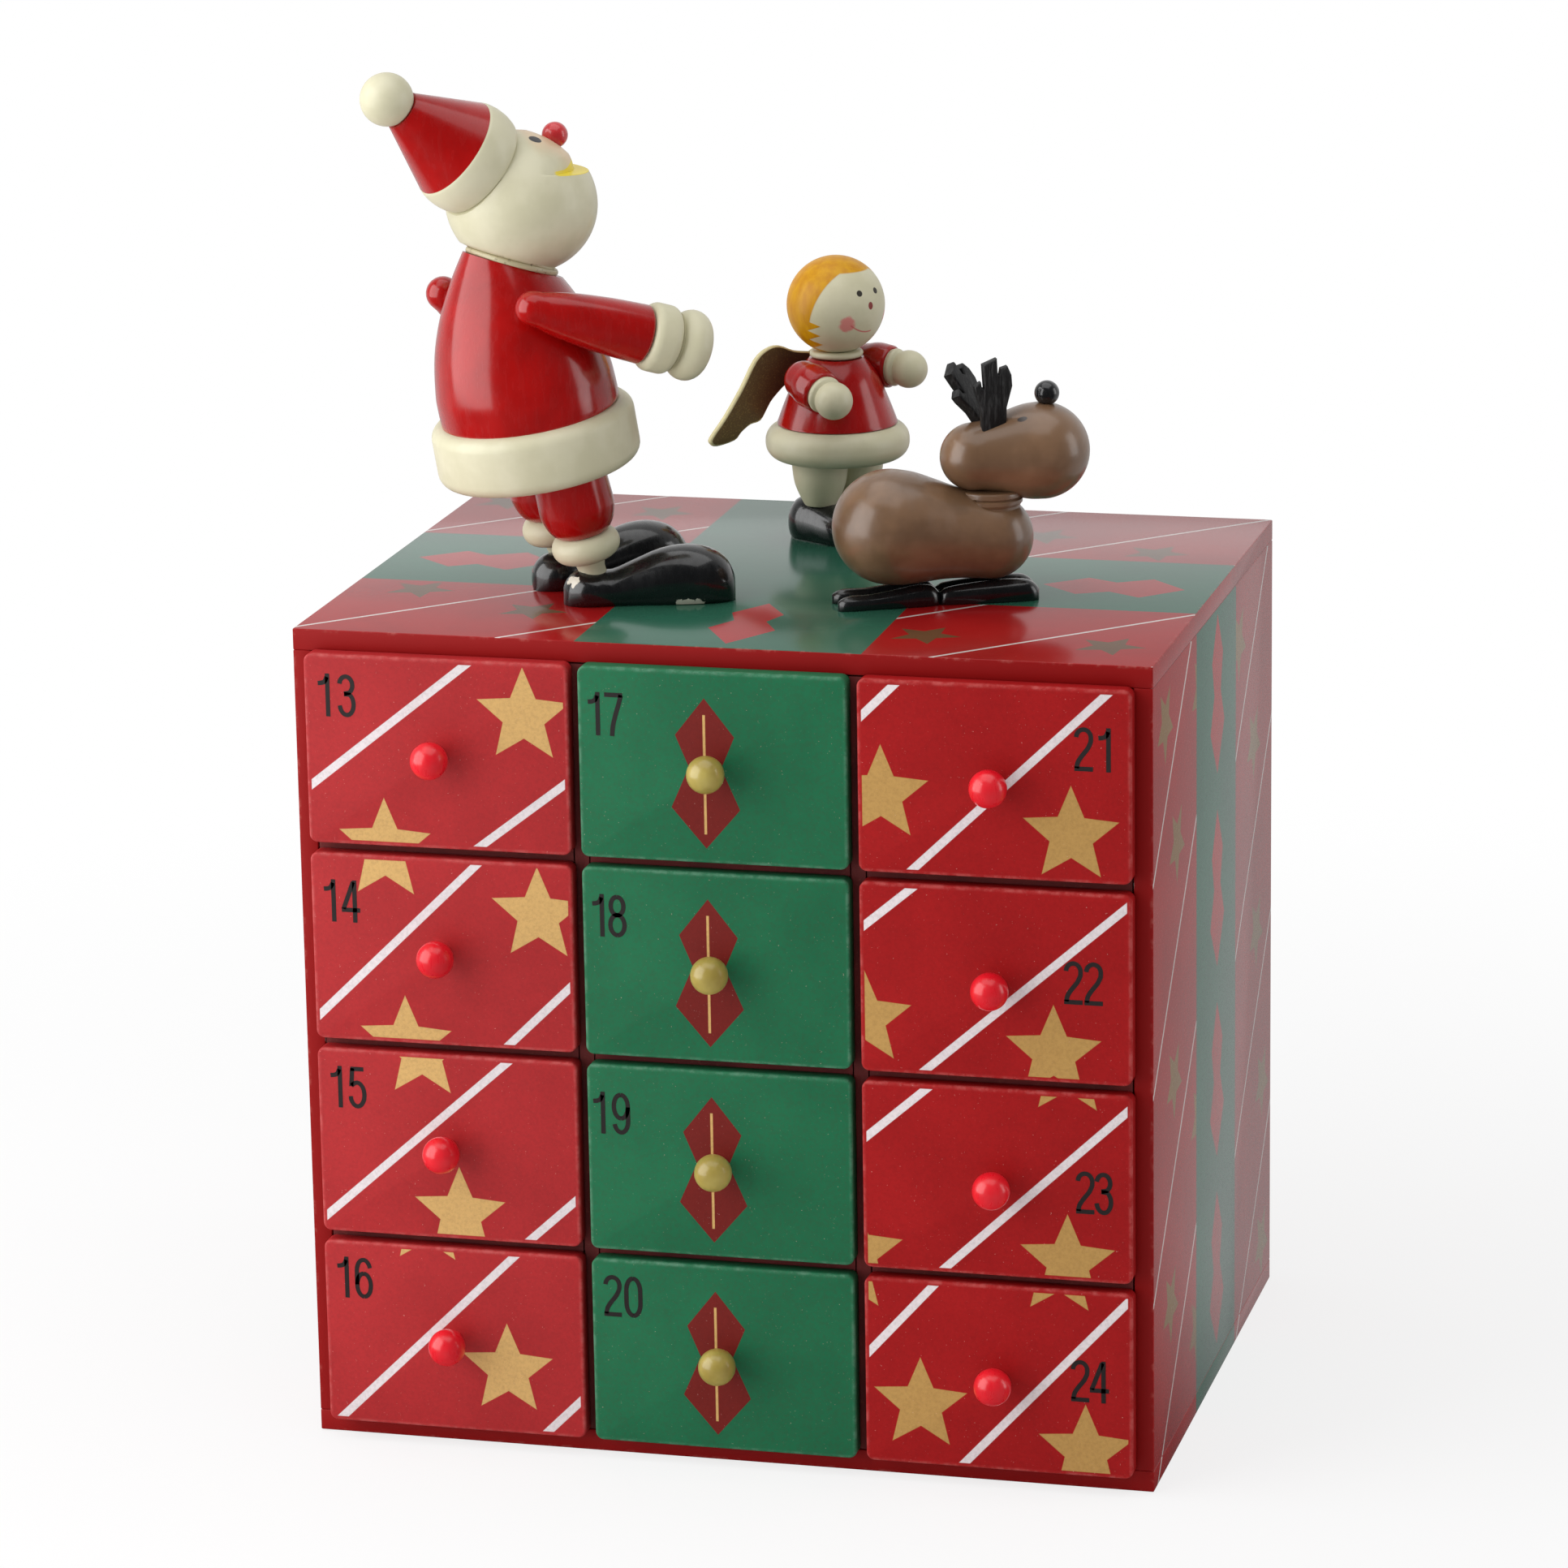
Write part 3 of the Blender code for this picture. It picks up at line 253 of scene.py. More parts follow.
def started(name, primitive, **settings):
    bpy.ops.object.select_all(action="DESELECT")
    primitive(**settings)
    piece = bpy.context.active_object
    piece.name = name
    return piece


def selectAll(action="SELECT"):
    bpy.ops.mesh.select_all(action=action)


def startEdit(piece, kind="EDGE"):
    only(piece)
    bpy.ops.object.mode_set(mode="EDIT")
    bpy.ops.mesh.select_mode(type=kind)
    selectAll("DESELECT")


def endEdit():
    bpy.ops.object.mode_set(mode="OBJECT")


def pick(piece, parts, *tests):
    # Selects the edges or faces whose points all pass one of the tests.
    shape = bmesh.from_edit_mesh(piece.data)
    for part in getattr(shape, parts):
        part.select_set(any(all(test(vert.co) for vert in part.verts) for test in tests))
    shape.select_flush_mode()
    bmesh.update_edit_mesh(piece.data)


def roundOver(width, segments):
    bpy.ops.mesh.bevel(offset=width * mm, segments=segments, profile=0.5, affect="EDGES")


def pull(*way):
    # Extrudes what is selected, in millimetres.
    bpy.ops.mesh.extrude_region_move(TRANSFORM_OT_translate={"value": [value * mm for value in way]})


def faceOut():
    selectAll()
    bpy.ops.mesh.normals_make_consistent(inside=False)


def applyPlace(piece):
    only(piece)
    bpy.ops.object.transform_apply(location=True, rotation=True, scale=True)


def setIn(piece, matrix):
    # Moves a finished shape to its place and puts that place in its mesh.
    piece.matrix_world = matrix @ piece.matrix_world
    applyPlace(piece)
    return piece


def twin(piece, name):
    made = piece.copy()
    made.data = piece.data.copy()
    made.name = name
    made.data.name = name
    bpy.context.scene.collection.objects.link(made)
    return made


def softened(piece, angle=35.0):
    only(piece)
    bpy.ops.object.shade_smooth_by_angle(angle=math.radians(angle))
    return piece


def block(name, low, high):
    # A block between two corners in millimetres.
    middle = [(a + b) / 2 * mm for a, b in zip(low, high)]
    piece = started(name, bpy.ops.mesh.primitive_cube_add, size=1, location=middle)
    piece.scale = [(b - a) * mm for a, b in zip(low, high)]
    applyPlace(piece)
    return piece


def drawn(name, points):
    # A line through points in millimetres. It is left open for editing, and selected.
    piece = started(name, bpy.ops.mesh.primitive_plane_add, size=mm)
    startEdit(piece, "VERT")
    selectAll()
    bpy.ops.mesh.merge(type="CENTER")
    bpy.ops.transform.translate(value=[value * mm for value in points[0]])
    for before, after in zip(points, points[1:]):
        step = [(b - a) * mm for a, b in zip(before, after)]
        bpy.ops.mesh.extrude_vertices_move(TRANSFORM_OT_translate={"value": step})
    selectAll()
    return piece


def lathe(name, profile, turns=48):
    # Spins a profile of (radius, height) points in millimetres round Z.
    piece = drawn(name, [(radius, 0, height) for radius, height in profile])
    bpy.ops.mesh.spin(steps=turns, angle=math.tau, center=(0, 0, 0), axis=(0, 0, 1))
    selectAll()
    bpy.ops.mesh.remove_doubles(threshold=mm * 0.002)
    bpy.ops.mesh.normals_make_consistent(inside=False)
    endEdit()
    return softened(piece)


def cutOut(name, outline, thickness, ease):
    # A flat piece in X and Z, cut from a board. Its edges are eased unless ease is 0.
    piece = drawn(name, [(x, -thickness / 2, z) for x, z in outline])
    bpy.ops.mesh.edge_face_add()
    selectAll()
    pull(0, thickness, 0)
    faceOut()
    if not ease:
        endEdit()
        return piece
    selectAll("DESELECT")
    bpy.ops.mesh.select_mode(type="EDGE")
    half = thickness / 2 * mm * 0.99
    pick(piece, "edges", lambda point: point.y > half, lambda point: point.y < -half)
    roundOver(ease, 2)
    endEdit()
    return softened(piece, 50)


def shaveOff(piece, point, normal):
    # Cuts away what lies beyond a plane and closes the cut. The plane is in metres.
    startEdit(piece)
    selectAll()
    bpy.ops.mesh.bisect(plane_co=point, plane_no=normal, use_fill=True, clear_outer=True)
    endEdit()
    return piece


def arc(radius, height, across, along, start, end, steps):
    points = []
    for step in range(steps + 1):
        angle = math.radians(start + (end - start) * step / steps)
        points.append((max(radius + across * math.cos(angle), 0), height + along * math.sin(angle)))
    return points


def ball(radius, lift=0, low=-90, high=90, steps=20):
    return arc(0, lift, radius, radius, low, high, steps)


def flowing(points, steps=6):
    # A smooth curve through the points.
    line = [Vector(point) for point in (points[0], *points, points[-1])]
    curve = []
    for p0, p1, p2, p3 in zip(line, line[1:], line[2:], line[3:]):
        for step in range(steps):
            t = step / steps
            squared = (2 * p0 - 5 * p1 + 4 * p2 - p3) * t ** 2
            cubed = (3 * p1 - p0 - 3 * p2 + p3) * t ** 3
            curve.append(tuple(0.5 * (2 * p1 + (p2 - p0) * t + squared + cubed)))
    return curve + [tuple(points[-1])]


def roundedDisc(radius, foot, top, edge, steps=7):
    profile = [(0, foot)] + arc(radius - edge, foot + edge, edge, edge, -90, 0, steps)
    return profile + arc(radius - edge, top - edge, edge, edge, 0, 90, steps) + [(0, top)]


def leaning(ahead, left=0.0):
    # The direction of an upright that leans ahead and to the figure's left, in degrees.
    a, b = math.radians(ahead), math.radians(left)
    return Vector((math.sin(a) * math.cos(b), math.sin(b), math.cos(a) * math.cos(b)))


def moved(x, y, z):
    return Matrix.Translation(Vector((x, y, z)) * mm)


def rolled(degrees, axis="Z"):
    return Matrix.Rotation(math.radians(degrees), 4, axis)


def standing(look):
    return moved(*look["place"], caseSize["height"]) @ rolled(look["turn"])


def aimed(stance, spot, direction):
    return stance @ moved(*spot) @ direction.to_track_quat("Z", "Y").to_matrix().to_4x4()


upright = Vector((0, 0, 1))
sides = ((1, "left"), (-1, "right"))

# The slot of each paint on the figures
figureSlots = {
    "coatPaint": "coat_red", "noseRed": "bead_red", "bronzePaint": "bronze_paint",
    **dict.fromkeys(("creamPaint", "santaFacePaint", "angelFacePaint"), "cream_paint"),
    **dict.fromkeys(("blackPaint", "chippedBlack", "antlerPaint"), "black_paint"),
    **dict.fromkeys(("brownPaint", "deerHeadPaint"), "brown_paint"),
}


def finished(piece, paint, node, body="case"):
    piece.data.materials.clear()
    piece.data.materials.append(paint)
    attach(piece, body)
    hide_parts(node)
    return piece


def turned(name, profile, place, paint, node, turns=48):
    # A turned piece of a figure, painted and in its place.
    return finished(setIn(lathe(name, profile, turns), place), paint, node)


# Paints

def enamel(name, tone, gloss, coat=0.5, coatGloss=0.1, sheen=0.5, chips=()):
    # Brushed paint on turned wood. Chips are the places where bare wood shows, in millimetres.
    finish = Finish(name)
    broad, fine = finish.brushed(tone, 9.0, 0.55, 0.68)
    grain = finish.noise(1.2, 3, squeeze=(1, 1, 0.22))
    speck = finish.ease(finish.noise(0.9, 2, 0.7), 0.74, 0.82)
    finish.cover(speck * 0.2, tone["chip"])
    rough = gloss + finish.ease(grain, 0.3, 0.75) * 0.12
    if chips:
        ragged = (finish.noise(1.2, 3) - 0.5) * 2.4
        bare = finish.either(*[finish.ease(finish.distance(finish.spot, chip) + ragged, 1.3, 1.0) for chip in chips])
        finish.cover(bare, (226, 220, 204))
        rough = rough + bare * 0.4
    return finish.wear(
        Roughness=rough, Specular_IOR_Level=sheen, Coat_Weight=coat, Coat_Roughness=coatGloss,
        Normal=finish.bump(fine * 0.3 + grain * 0.9 + broad * 0.5, 0.05, 0.6),
    )


redTone = {"deep": (156, 5, 4), "light": (170, 8, 7), "chip": (190, 60, 54)}
creamTone = {"deep": (204, 199, 168), "light": (213, 208, 179), "chip": (192, 180, 146)}
blackTone = {"deep": (12, 13, 15), "light": (22, 23, 25), "chip": (50, 48, 46)}
brownTone = {"deep": (110, 82, 58), "light": (128, 97, 71), "chip": (78, 56, 40)}
redBeadTone = {"deep": (218, 16, 34), "light": (232, 28, 42), "chip": (240, 90, 96)}
goldBeadTone = {"deep": (158, 138, 62), "light": (186, 168, 88), "chip": (120, 100, 50)}
noseTone = {"deep": (182, 30, 34), "light": (206, 46, 52), "chip": (120, 20, 20)}

coatPaint = enamel("coatPaint", redTone, 0.20, coat=0.7, coatGloss=0.14, sheen=0.25)
creamPaint = enamel("creamPaint", creamTone, 0.42, coat=0.15)
blackPaint = enamel("blackPaint", blackTone, 0.22, coat=0.7)
brownPaint = enamel("brownPaint", brownTone, 0.30, coat=0.6, coatGloss=0.2)
redBead = enamel("redBead", redBeadTone, 0.26, coat=0.4)
goldBead = enamel("goldBead", goldBeadTone, 0.30, coat=0.5)
noseRed = enamel("noseRed", noseTone, 0.25, coat=0.6)
print("paints mixed")


# Paper on the case

casePaper = {
    "red": (158, 23, 24), "green": (44, 98, 78), "motif": (166, 34, 34), "line": (214, 206, 202), "lineWidth": 0.8,
    "edge": (142, 11, 11), "rubbed": (196, 120, 112),
    "top": {
        # The top's star gold is darker than the side's: painted shade that offsets the stronger light falling on the
        # top.
        "gold": (100, 70, 46), "ribbonX": (-29.8, 30.3), "ribbonY": (-21.7, 22.9),
        "lineStep": 45.4, "lineStart": -114.35, "starSize": 7.6, "starTilt": 20,
        "stars": [
            (-43.75, 51.2), (71.25, 31.2), (-74.4, -29.4), (-45.6, -43.8), (39.4, -50.0), (78.1, -52.5),
            (44.4, 43.1), (-80.6, 55.6),
        ],
        "leftMotif": {"along": (-83.75, -75, -69.5, -61.9, -53.75), "half": (7.5, 4.2, 8.4)},
        "rightMotif": {"along": (53.5, 61.9, 68.5, 75.6, 83.75), "half": (7.5, 4.2, 8.4)},
        "frontMotif": {"along": (28.8, 38.1, 44.5, 51.6, 64.4), "half": (5.5, 3.4, 7.1)},
    },
    "side": {
        "gold": (134, 100, 54), "ribbon": (-21.2, 23.8),
        "lineStep": 44.6, "lineStart": 45.6, "frontEdge": 68.1, "starSize": 8.6, "starTilt": 180,
        "stars": [
            (-55, 160), (-42.5, 131.9), (-45.6, 81.9), (-49.4, 34.4), (-18, 158), (-19, 65.6), (-21, 19.4),
            (27.5, 156.9), (45.6, 130.6), (49.4, 86.9), (56.9, 50), (56.9, 12.5),
        ],
        "motif": {"along": (1.7, 11.2, 18.7, 26.2, 36.3), "half": (6.2, 3.6, 8.0)}, "motifStep": 42.4, "motifTop": 171,
    },
}


def wrapPaper(name, look, face):
    # Printed paper under a clear glaze. The print is only on the faces that it is made for.
    finish = Finish(name)
    printed = look[face]
    x, y, z = finish.axes(finish.spot)
    facing = finish.axes(finish.node("ShaderNodeTexCoord", output="Normal"))
    up, sideways = finish.ease(abs(facing[2]), 0.6, 0.8), finish.ease(abs(facing[0]), 0.6, 0.8)
    if face == "top":
        across, above, onFace = x, y, up
        ribbon = finish.either(finish.between(x, *printed["ribbonX"]), finish.between(y, *printed["ribbonY"]))
        slant = x - y - printed["lineStart"]
        motifs = finish.either(
            doubleDiamond(finish, x, y + 0.4, printed["leftMotif"]),
            doubleDiamond(finish, x, y + 1.3, printed["rightMotif"]),
            doubleDiamond(finish, abs(y), x - 1.2, printed["frontMotif"]),
        )
    else:
        across, above, onFace = y * finish.maths("SIGN", x), z, sideways
        ribbon = finish.between(across, *printed["ribbon"])
        slant = across + printed["frontEdge"] + caseSize["height"] - z - printed["lineStart"]
        step = printed["motifStep"]
        along = finish.maths("MODULO", printed["motifTop"] - z + step, step)
        motifs = doubleDiamond(finish, along, across - 2.5, printed["motif"])
    flat = finish.point(across, above)
    stars = [starPrint(finish, flat, *star, printed["starSize"], printed["starTilt"]) for star in printed["stars"]]
    off = finish.maths("PINGPONG", slant / printed["lineStep"], 0.5) * (printed["lineStep"] / math.sqrt(2))
    lines = linePrint(finish, off, look["lineWidth"])
    plain = 1 - ribbon
    finish.colour = finish.blend(ribbon * onFace, look["red"], look["green"])
    finish.cover(finish.either(*stars) * plain * onFace, printed["gold"])
    finish.cover(lines * plain * onFace, look["line"])
    finish.cover(motifs * ribbon * onFace, look["motif"])
    broad, fine = finish.noise(26, 4), finish.noise(0.7, 4, 0.65)
    finish.cover(finish.ease(broad, 0.3, 0.75) * 0.22, (40, 20, 20))
    fleck = finish.ease(finish.noise(0.55, 2, 0.7), 0.735, 0.80)
    finish.cover(fleck * 0.35, (226, 196, 190))
    # Paint rubs off where the boards' edges are handled.
    halfWidth, halfDepth, halfHeight = [caseSize[side] / 2 for side in ("width", "depth", "height")]
    nearX = finish.ease(abs(x), halfWidth - 0.9, halfWidth - 0.1)
    nearY = finish.ease(abs(y), halfDepth - 0.9, halfDepth - 0.1)
    nearZ = finish.ease(abs(z - halfHeight), 86.7, 87.4)
    rim = finish.either(nearX * nearY, nearY * nearZ, nearX * nearZ)
    patchy = finish.ease(finish.noise(2.4, 4, 0.7), 0.50, 0.68)
    finish.cover((1 - finish.either(up, sideways)) * 0.85, look["edge"])
    finish.cover(rim * patchy * 0.30, look["rubbed"])
    return finish.wear(
        Roughness=0.50 - up * 0.33 - sideways * 0.26 + finish.ease(fine, 0.3, 0.8) * 0.05,
        Specular_IOR_Level=0.15, Coat_Weight=up * 0.26 + sideways * 0.26, Coat_Roughness=0.12,
        Normal=finish.bump(fine * 0.4 + broad * 0.8, 0.05, 0.35),
    )


topPaper = wrapPaper("topPaper", casePaper, "top")
sidePaper = wrapPaper("sidePaper", casePaper, "side")

boards = {
    "top_board": ((-90, -68, 170.5), (90, 68, 175), topPaper),
    "bottom_board": ((-90, -68, 0), (90, 68, 4.5), sidePaper),
    "left_side": ((-90, -68, 4.52), (-86, 68, 170.48), sidePaper),
    "right_side": ((86, -68, 4.52), (90, 68, 170.48), sidePaper),
}
for node, (low, high, paper) in boards.items():
    board = block(node.replace("_", ".") + ".eased", low, high)
    startEdit(board)
    selectAll()
    roundOver(0.25, 3)
    endEdit()
    finished(softened(board), paper, node)


def boardStain():
    # Dark red on the inner boards, with paler streaks along their fibres.
    finish = Finish("innerBoard")
    fibre = finish.noise(0.9, 5, 0.65, squeeze=(1, 0.3, 1))
    finish.colour = finish.blend(finish.ease(finish.noise(14, 3), 0.3, 0.7), (96, 20, 20), (120, 30, 28))
    finish.cover(finish.ease(fibre, 0.55, 0.8) * 0.4, (150, 84, 66))
    return finish.wear(Roughness=0.6 + fibre * 0.2, Normal=finish.bump(fibre, 0.06))


innerBoard = boardStain()
for node in ("left_divider", "right_divider", "lower_shelf", "middle_shelf", "upper_shelf"):
    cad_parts[node].data.materials.clear()
    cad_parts[node].data.materials.append(innerBoard)
print("case boards covered")


# Drawers. A list of three has a value for each column.

frontLook = {
    # The right column's reds and gold are darker copies of the left column's: painted shade, as that column gets less
    # light from the lamp on the left.
    "tones": [((166, 26, 30), (186, 34, 38)), ((18, 102, 66), (24, 116, 76)), ((152, 18, 20), (170, 24, 26))],
    "golds": [(212, 170, 104), (212, 170, 104), (186, 146, 84)], "sheen": [0.35, 0.25, 0.12],
    "rubbed": [(206, 112, 108), (120, 160, 136), (206, 112, 108)], "stripe": (228, 218, 220), "motif": (120, 26, 20),
    "width": 56.23, "height": 40.15, "thickness": 4, "gap": 0.3, "corner": 1.7, "ease": 0.5,
    "starSize": 10.3, "stripeWidth": 1.7, "margin": 0.45,
    "motifShape": {"along": (-14.5, -6.6, 0, 8.6, 17), "half": (6.2, 3.4, 7.2)},
}
frontPrints = {
    13: {"stars": [(18.7, 8.9), (-11.7, -20.1)], "stripes": [(-28.3, -8.6, 6.5, 19.1), (7.7, -19.9, 27.3, -4.9)]},
    14: {
        "stars": [(20.7, 9.1), (-11.9, 20.5), (-8.5, -20.1)],
        "stripes": [(-28.3, -16.1, 7.7, 19.1), (13.3, -19.6, 27.1, -6.1)],
    },
    15: {"stars": [(2.1, -14.5), (-5.3, 20.2)], "stripes": [(-27.3, -16.8, 13.6, 19.6), (16.5, -19.8, 27.1, -10.1)]},
    16: {"stars": [(11.5, -6.1), (-5.4, 25.9)], "stripes": [(-25.2, -19.1, 14.6, 20.2), (20.2, -18.9, 26.6, -12.5)]},
    21: {"stars": [(-23.3, -3.6), (15.8, -10.3)], "stripes": [(-27.7, 11.9, -20.6, 18.9), (-17.7, -19.9, 22.9, 18.9)]},
    22: {"stars": [(-27.3, -8.7), (12, -14)], "stripes": [(-28.7, 9.5, -17.5, 18.9), (-15.8, -20.1, 26.4, 16.8)]},
    23: {
        "stars": [(-29.7, -16.8), (14.7, -16.1), (14.8, 25.1)],
        "stripes": [(-27.1, 8.2, -14.8, 18.9), (-11.7, -19.8, 28.2, 17.8)],
    },
    24: {
        "stars": [(-16.4, -7), (18.3, -14.7), (-31.2, 22.3), (12.9, 24.4)],
        "stripes": [(-28.1, 2.8, -13.6, 19), (-7.5, -19.4, 26.9, 18)],
    },
}
# Middle of each numeral from the middle of its front, then its width and height.
numeralPlaces = {
    13: (-21.1, 11.6, 8.1, 9.3), 14: (-21.5, 9.9, 7.8, 9.1), 15: (-21.5, 11.8, 7.8, 9.2), 16: (-21.5, 12.0, 7.8, 9.0),
    17: (-22.2, 10.1, 7.5, 8.8), 18: (-22.4, 9.9, 7.3, 9.1), 19: (-22.9, 9.7, 7.9, 9.1), 20: (-21.4, 12.0, 8.4, 9.0),
    21: (20.2, 7.7, 7.5, 9.1), 22: (18.2, 1.2, 8.1, 9.1), 23: (20.3, -1.0, 7.8, 8.9), 24: (19.2, 0.7, 8.0, 9.1),
}
rowHeights = (150.875, 108.625, 66.375, 24.125)
rowStep = 42.25
columnPlaces = (-58.333, 0, 58.333)
greenColumn = 1


def frontPaper(number, look):
    # The print of one front. A front and the one behind it that is its twin share it.
    column, row = divmod(number - 13, 4)
    finish = Finish(f"frontPaper{number}")
    x, y, z = finish.axes(finish.spot)
    u = x * finish.maths("SIGN", 0 - y) - columnPlaces[column]
    v = z - rowHeights[row]
    if column == greenColumn:
        v = v - finish.maths("ROUND", (z - rowHeights[0]) / rowStep) * rowStep
    facing = finish.axes(finish.node("ShaderNodeTexCoord", output="Normal"))
    halfWidth, halfHeight = look["width"] / 2, look["height"] / 2
    inX = halfWidth - look["ease"] - look["margin"]
    inZ = halfHeight - look["ease"] - look["margin"]
    face = finish.ease(abs(facing[1]), 0.90, 0.97) * finish.between(u, -inX, inX) * finish.between(v, -inZ, inZ)
    broad, fine = finish.noise(17, 4), finish.noise(0.6, 4, 0.7)
    # The right column takes its darker tones and gold here, as painted shade.
    finish.colour = finish.blend(finish.ease(broad, 0.25, 0.75) * 0.6 + 0.2, *look["tones"][column])
    gold = look["golds"][column]
    if column == greenColumn:
        motif = doubleDiamond(finish, 0 - v, u + 1.5, look["motifShape"])
        thread = finish.between(u + 1.6, -0.27, 0.27, 0.06) * finish.between(v, -14, 11)
        finish.cover(motif * face, look["motif"])
        finish.cover(thread * face, gold)
    else:
        flat, prints = finish.point(u, v), frontPrints[number]
        stars = [starPrint(finish, flat, *star, look["starSize"]) for star in prints["stars"]]
        stripes = [stripePrint(finish, u, v, line, look["stripeWidth"]) for line in prints["stripes"]]
        finish.cover(finish.either(*stars) * face, gold)
        finish.cover(finish.either(*stripes) * face, look["stripe"])
    fibre = finish.noise(0.5, 3, 0.7, squeeze=(0.5, 1, 1))
    finish.cover(finish.ease(fine, 0.35, 0.75) * 0.20, (70, 14, 16))
    fleck = finish.ease(finish.noise(0.45, 2, 0.75), 0.70, 0.79)
    finish.cover(fleck * 0.45, (232, 196, 186))
    # The eased edges are rubbed paler, in patches.
    edgeX = finish.ease(abs(u), halfWidth - 0.95, halfWidth - 0.25)
    edgeZ = finish.ease(abs(v), halfHeight - 0.95, halfHeight - 0.25)
    rim = finish.either(edgeX, edgeZ) * finish.ease(abs(y), 70.9, 71.9)
    patchy = finish.ease(finish.noise(3.0, 4, 0.7), 0.40, 0.66)
    finish.cover(rim * (patchy * 0.34 + 0.05), look["rubbed"][column])
    return finish.wear(
        Roughness=0.50 + fine * 0.12, Specular_IOR_Level=look["sheen"][column],
        Normal=finish.bump(fine * 0.6 + fibre * 0.5 + broad * 0.6, 0.05, 0.5),
    )


frontPapers = {number: frontPaper(number, frontLook) for number in (*frontPrints, 17)}


def trayWood():
    # Pale sanded board, with the grain along the tray.
    finish = Finish("trayWood")
    bands = finish.noise(2.2, 5, 0.6, squeeze=(1, 0.07, 1))
    pores = finish.noise(0.35, 3, 0.7, squeeze=(1, 0.12, 1))
    finish.colour = finish.blend(finish.ease(bands, 0.3, 0.7), (206, 172, 124), (226, 198, 154))
    finish.cover(finish.ease(pores, 0.58, 0.75) * 0.45, (170, 130, 86))
    return finish.wear(Roughness=0.55 + pores * 0.2, Normal=finish.bump(bands + pores, 0.05, 0.6))


def numeralPrint():
    finish = Finish("numeralInk")
    worn = finish.ease(finish.noise(0.5, 4, 0.7), 0.60, 0.78)
    finish.colour = finish.blend(worn * 0.2, (38, 30, 30), (96, 50, 48))
    return finish.wear(Roughness=0.5 + worn * 0.2)


trayBoard = trayWood()
numeralInk = numeralPrint()

trayLook = {"halfWidth": 26.967, "foot": -19.325, "height": 30, "length": 64, "wall": 2, "ease": 0.35}
knobLook = {"ball": 3.9, "peg": 1.6, "pegLength": 1.6, "seat": 0.4}
frontFace = frontLook["gap"] + frontLook["thickness"]


def makeFront(look):
    # The lapped board of a drawer. Its four uprights are rounded first, then its two rims.
    halfWidth, halfHeight, back = look["width"] / 2, look["height"] / 2, -look["gap"]
    piece = block("drawerFront", (-halfWidth, -frontFace, -halfHeight), (halfWidth, back, halfHeight))
    startEdit(piece)
    shape = bmesh.from_edit_mesh(piece.data)
    for edge in shape.edges:
        edge.select_set(abs(edge.verts[0].co.y - edge.verts[1].co.y) > mm)
    bmesh.update_edit_mesh(piece.data)
    roundOver(look["corner"], 6)
    selectAll("DESELECT")
    pick(piece, "edges", lambda point: point.y < (0.1 - frontFace) * mm)
    roundOver(look["ease"], 4)
    selectAll("DESELECT")
    pick(piece, "edges", lambda point: point.y > (back - 0.1) * mm)
    roundOver(0.25, 2)
    endEdit()
    return softened(piece, 30)


def makeTray(look):
    # An open box: its top is inset by the wall and pressed down to the floor.
    top = look["foot"] + look["height"]
    piece = block("drawerTray", (-look["halfWidth"], -0.3, look["foot"]), (look["halfWidth"], look["length"], top))
    startEdit(piece, "FACE")
    pick(piece, "faces", lambda point: point.z > (top - 0.1) * mm)
    bpy.ops.mesh.inset(thickness=look["wall"] * mm)
    pull(0, 0, look["wall"] - look["height"])
    selectAll()
    bpy.ops.mesh.select_mode(type="EDGE")
    roundOver(look["ease"], 2)
    endEdit()
    return softened(piece, 40)


def makeKnob(look):
    peg, back = look["peg"], -look["seat"]
    neck = -math.degrees(math.acos(peg * 0.95 / look["ball"]))
    profile = [(0, back), (peg * 1.12, back), (peg * 1.12, 0.15), (peg, 0.35)]
    profile += ball(look["ball"], look["pegLength"] + look["ball"], neck)
    return setIn(lathe("drawerKnob", profile, 40), moved(0, -frontFace, 0) @ rolled(90, "X"))


# Each digit is drawn with a pen of one width. The paths are in millimetres, 9.1 tall with the pen.
digitLook = {"pen": 0.95, "ink": 0.03}


def ring(across, up, wide, high):
    return [arc(across, up, wide, high, 90, -90, 14), arc(across, up, wide, high, 90, 270, 14)]


def halfZero(start, end):
    # One side of the zero, down from its top.
    middle = (start + end) / 2
    return arc(1.5, 5.4, 1.5, 2.75, start, middle, 8) + arc(1.5, 2.75, 1.5, 2.75, middle, end, 8)


digitPaths = {
    "0": [halfZero(90, -90), halfZero(90, 270)],
    "1": [[(1.6, -0.47), (1.6, 8.62)], flowing([(-0.45, 6.5), (0.45, 6.62), (1.1, 7.0), (1.5, 7.9)], 4)],
    "2": [
        arc(1.5, 6.45, 1.5, 1.7, 178, 0, 12)
        + flowing([(2.95, 5.6), (2.3, 4.2), (1.2, 2.75), (0.35, 1.4), (0.08, 0.1)], 4),
        [(-0.4, 0), (3.4, 0)],
    ],
    "3": [
        arc(1.45, 6.35, 1.4, 1.8, 172, -62, 14) + [(1.0, 4.5)],
        [(1.0, 4.45)] + arc(1.5, 2.3, 1.5, 2.3, 62, -172, 16),
    ],
    "4": [[(2.45, -0.47), (2.45, 8.6)], [(2.2, 8.25), (0.0, 2.4)], [(-0.42, 2.2), (3.6, 2.2)]],
    "5": [
        [(0.1, 8.15), (2.95, 8.15)], [(0.5, 8.3), (0.2, 4.3)],
        [(0.2, 4.5)] + arc(1.45, 2.6, 1.55, 2.6, 122, -170, 18),
    ],
    "6": ring(1.5, 2.55, 1.5, 2.55) + [arc(1.5, 5.6, 1.5, 2.55, 18, 180, 10) + [(0.0, 2.6)]],
    "7": [[(-0.4, 8.15), (3.4, 8.15)], flowing([(3.1, 8.2), (2.6, 6.3), (1.85, 3.8), (1.3, 1.6), (1.1, -0.47)], 4)],
    "8": ring(1.5, 6.2, 1.35, 1.95) + ring(1.5, 2.15, 1.5, 2.15),
}
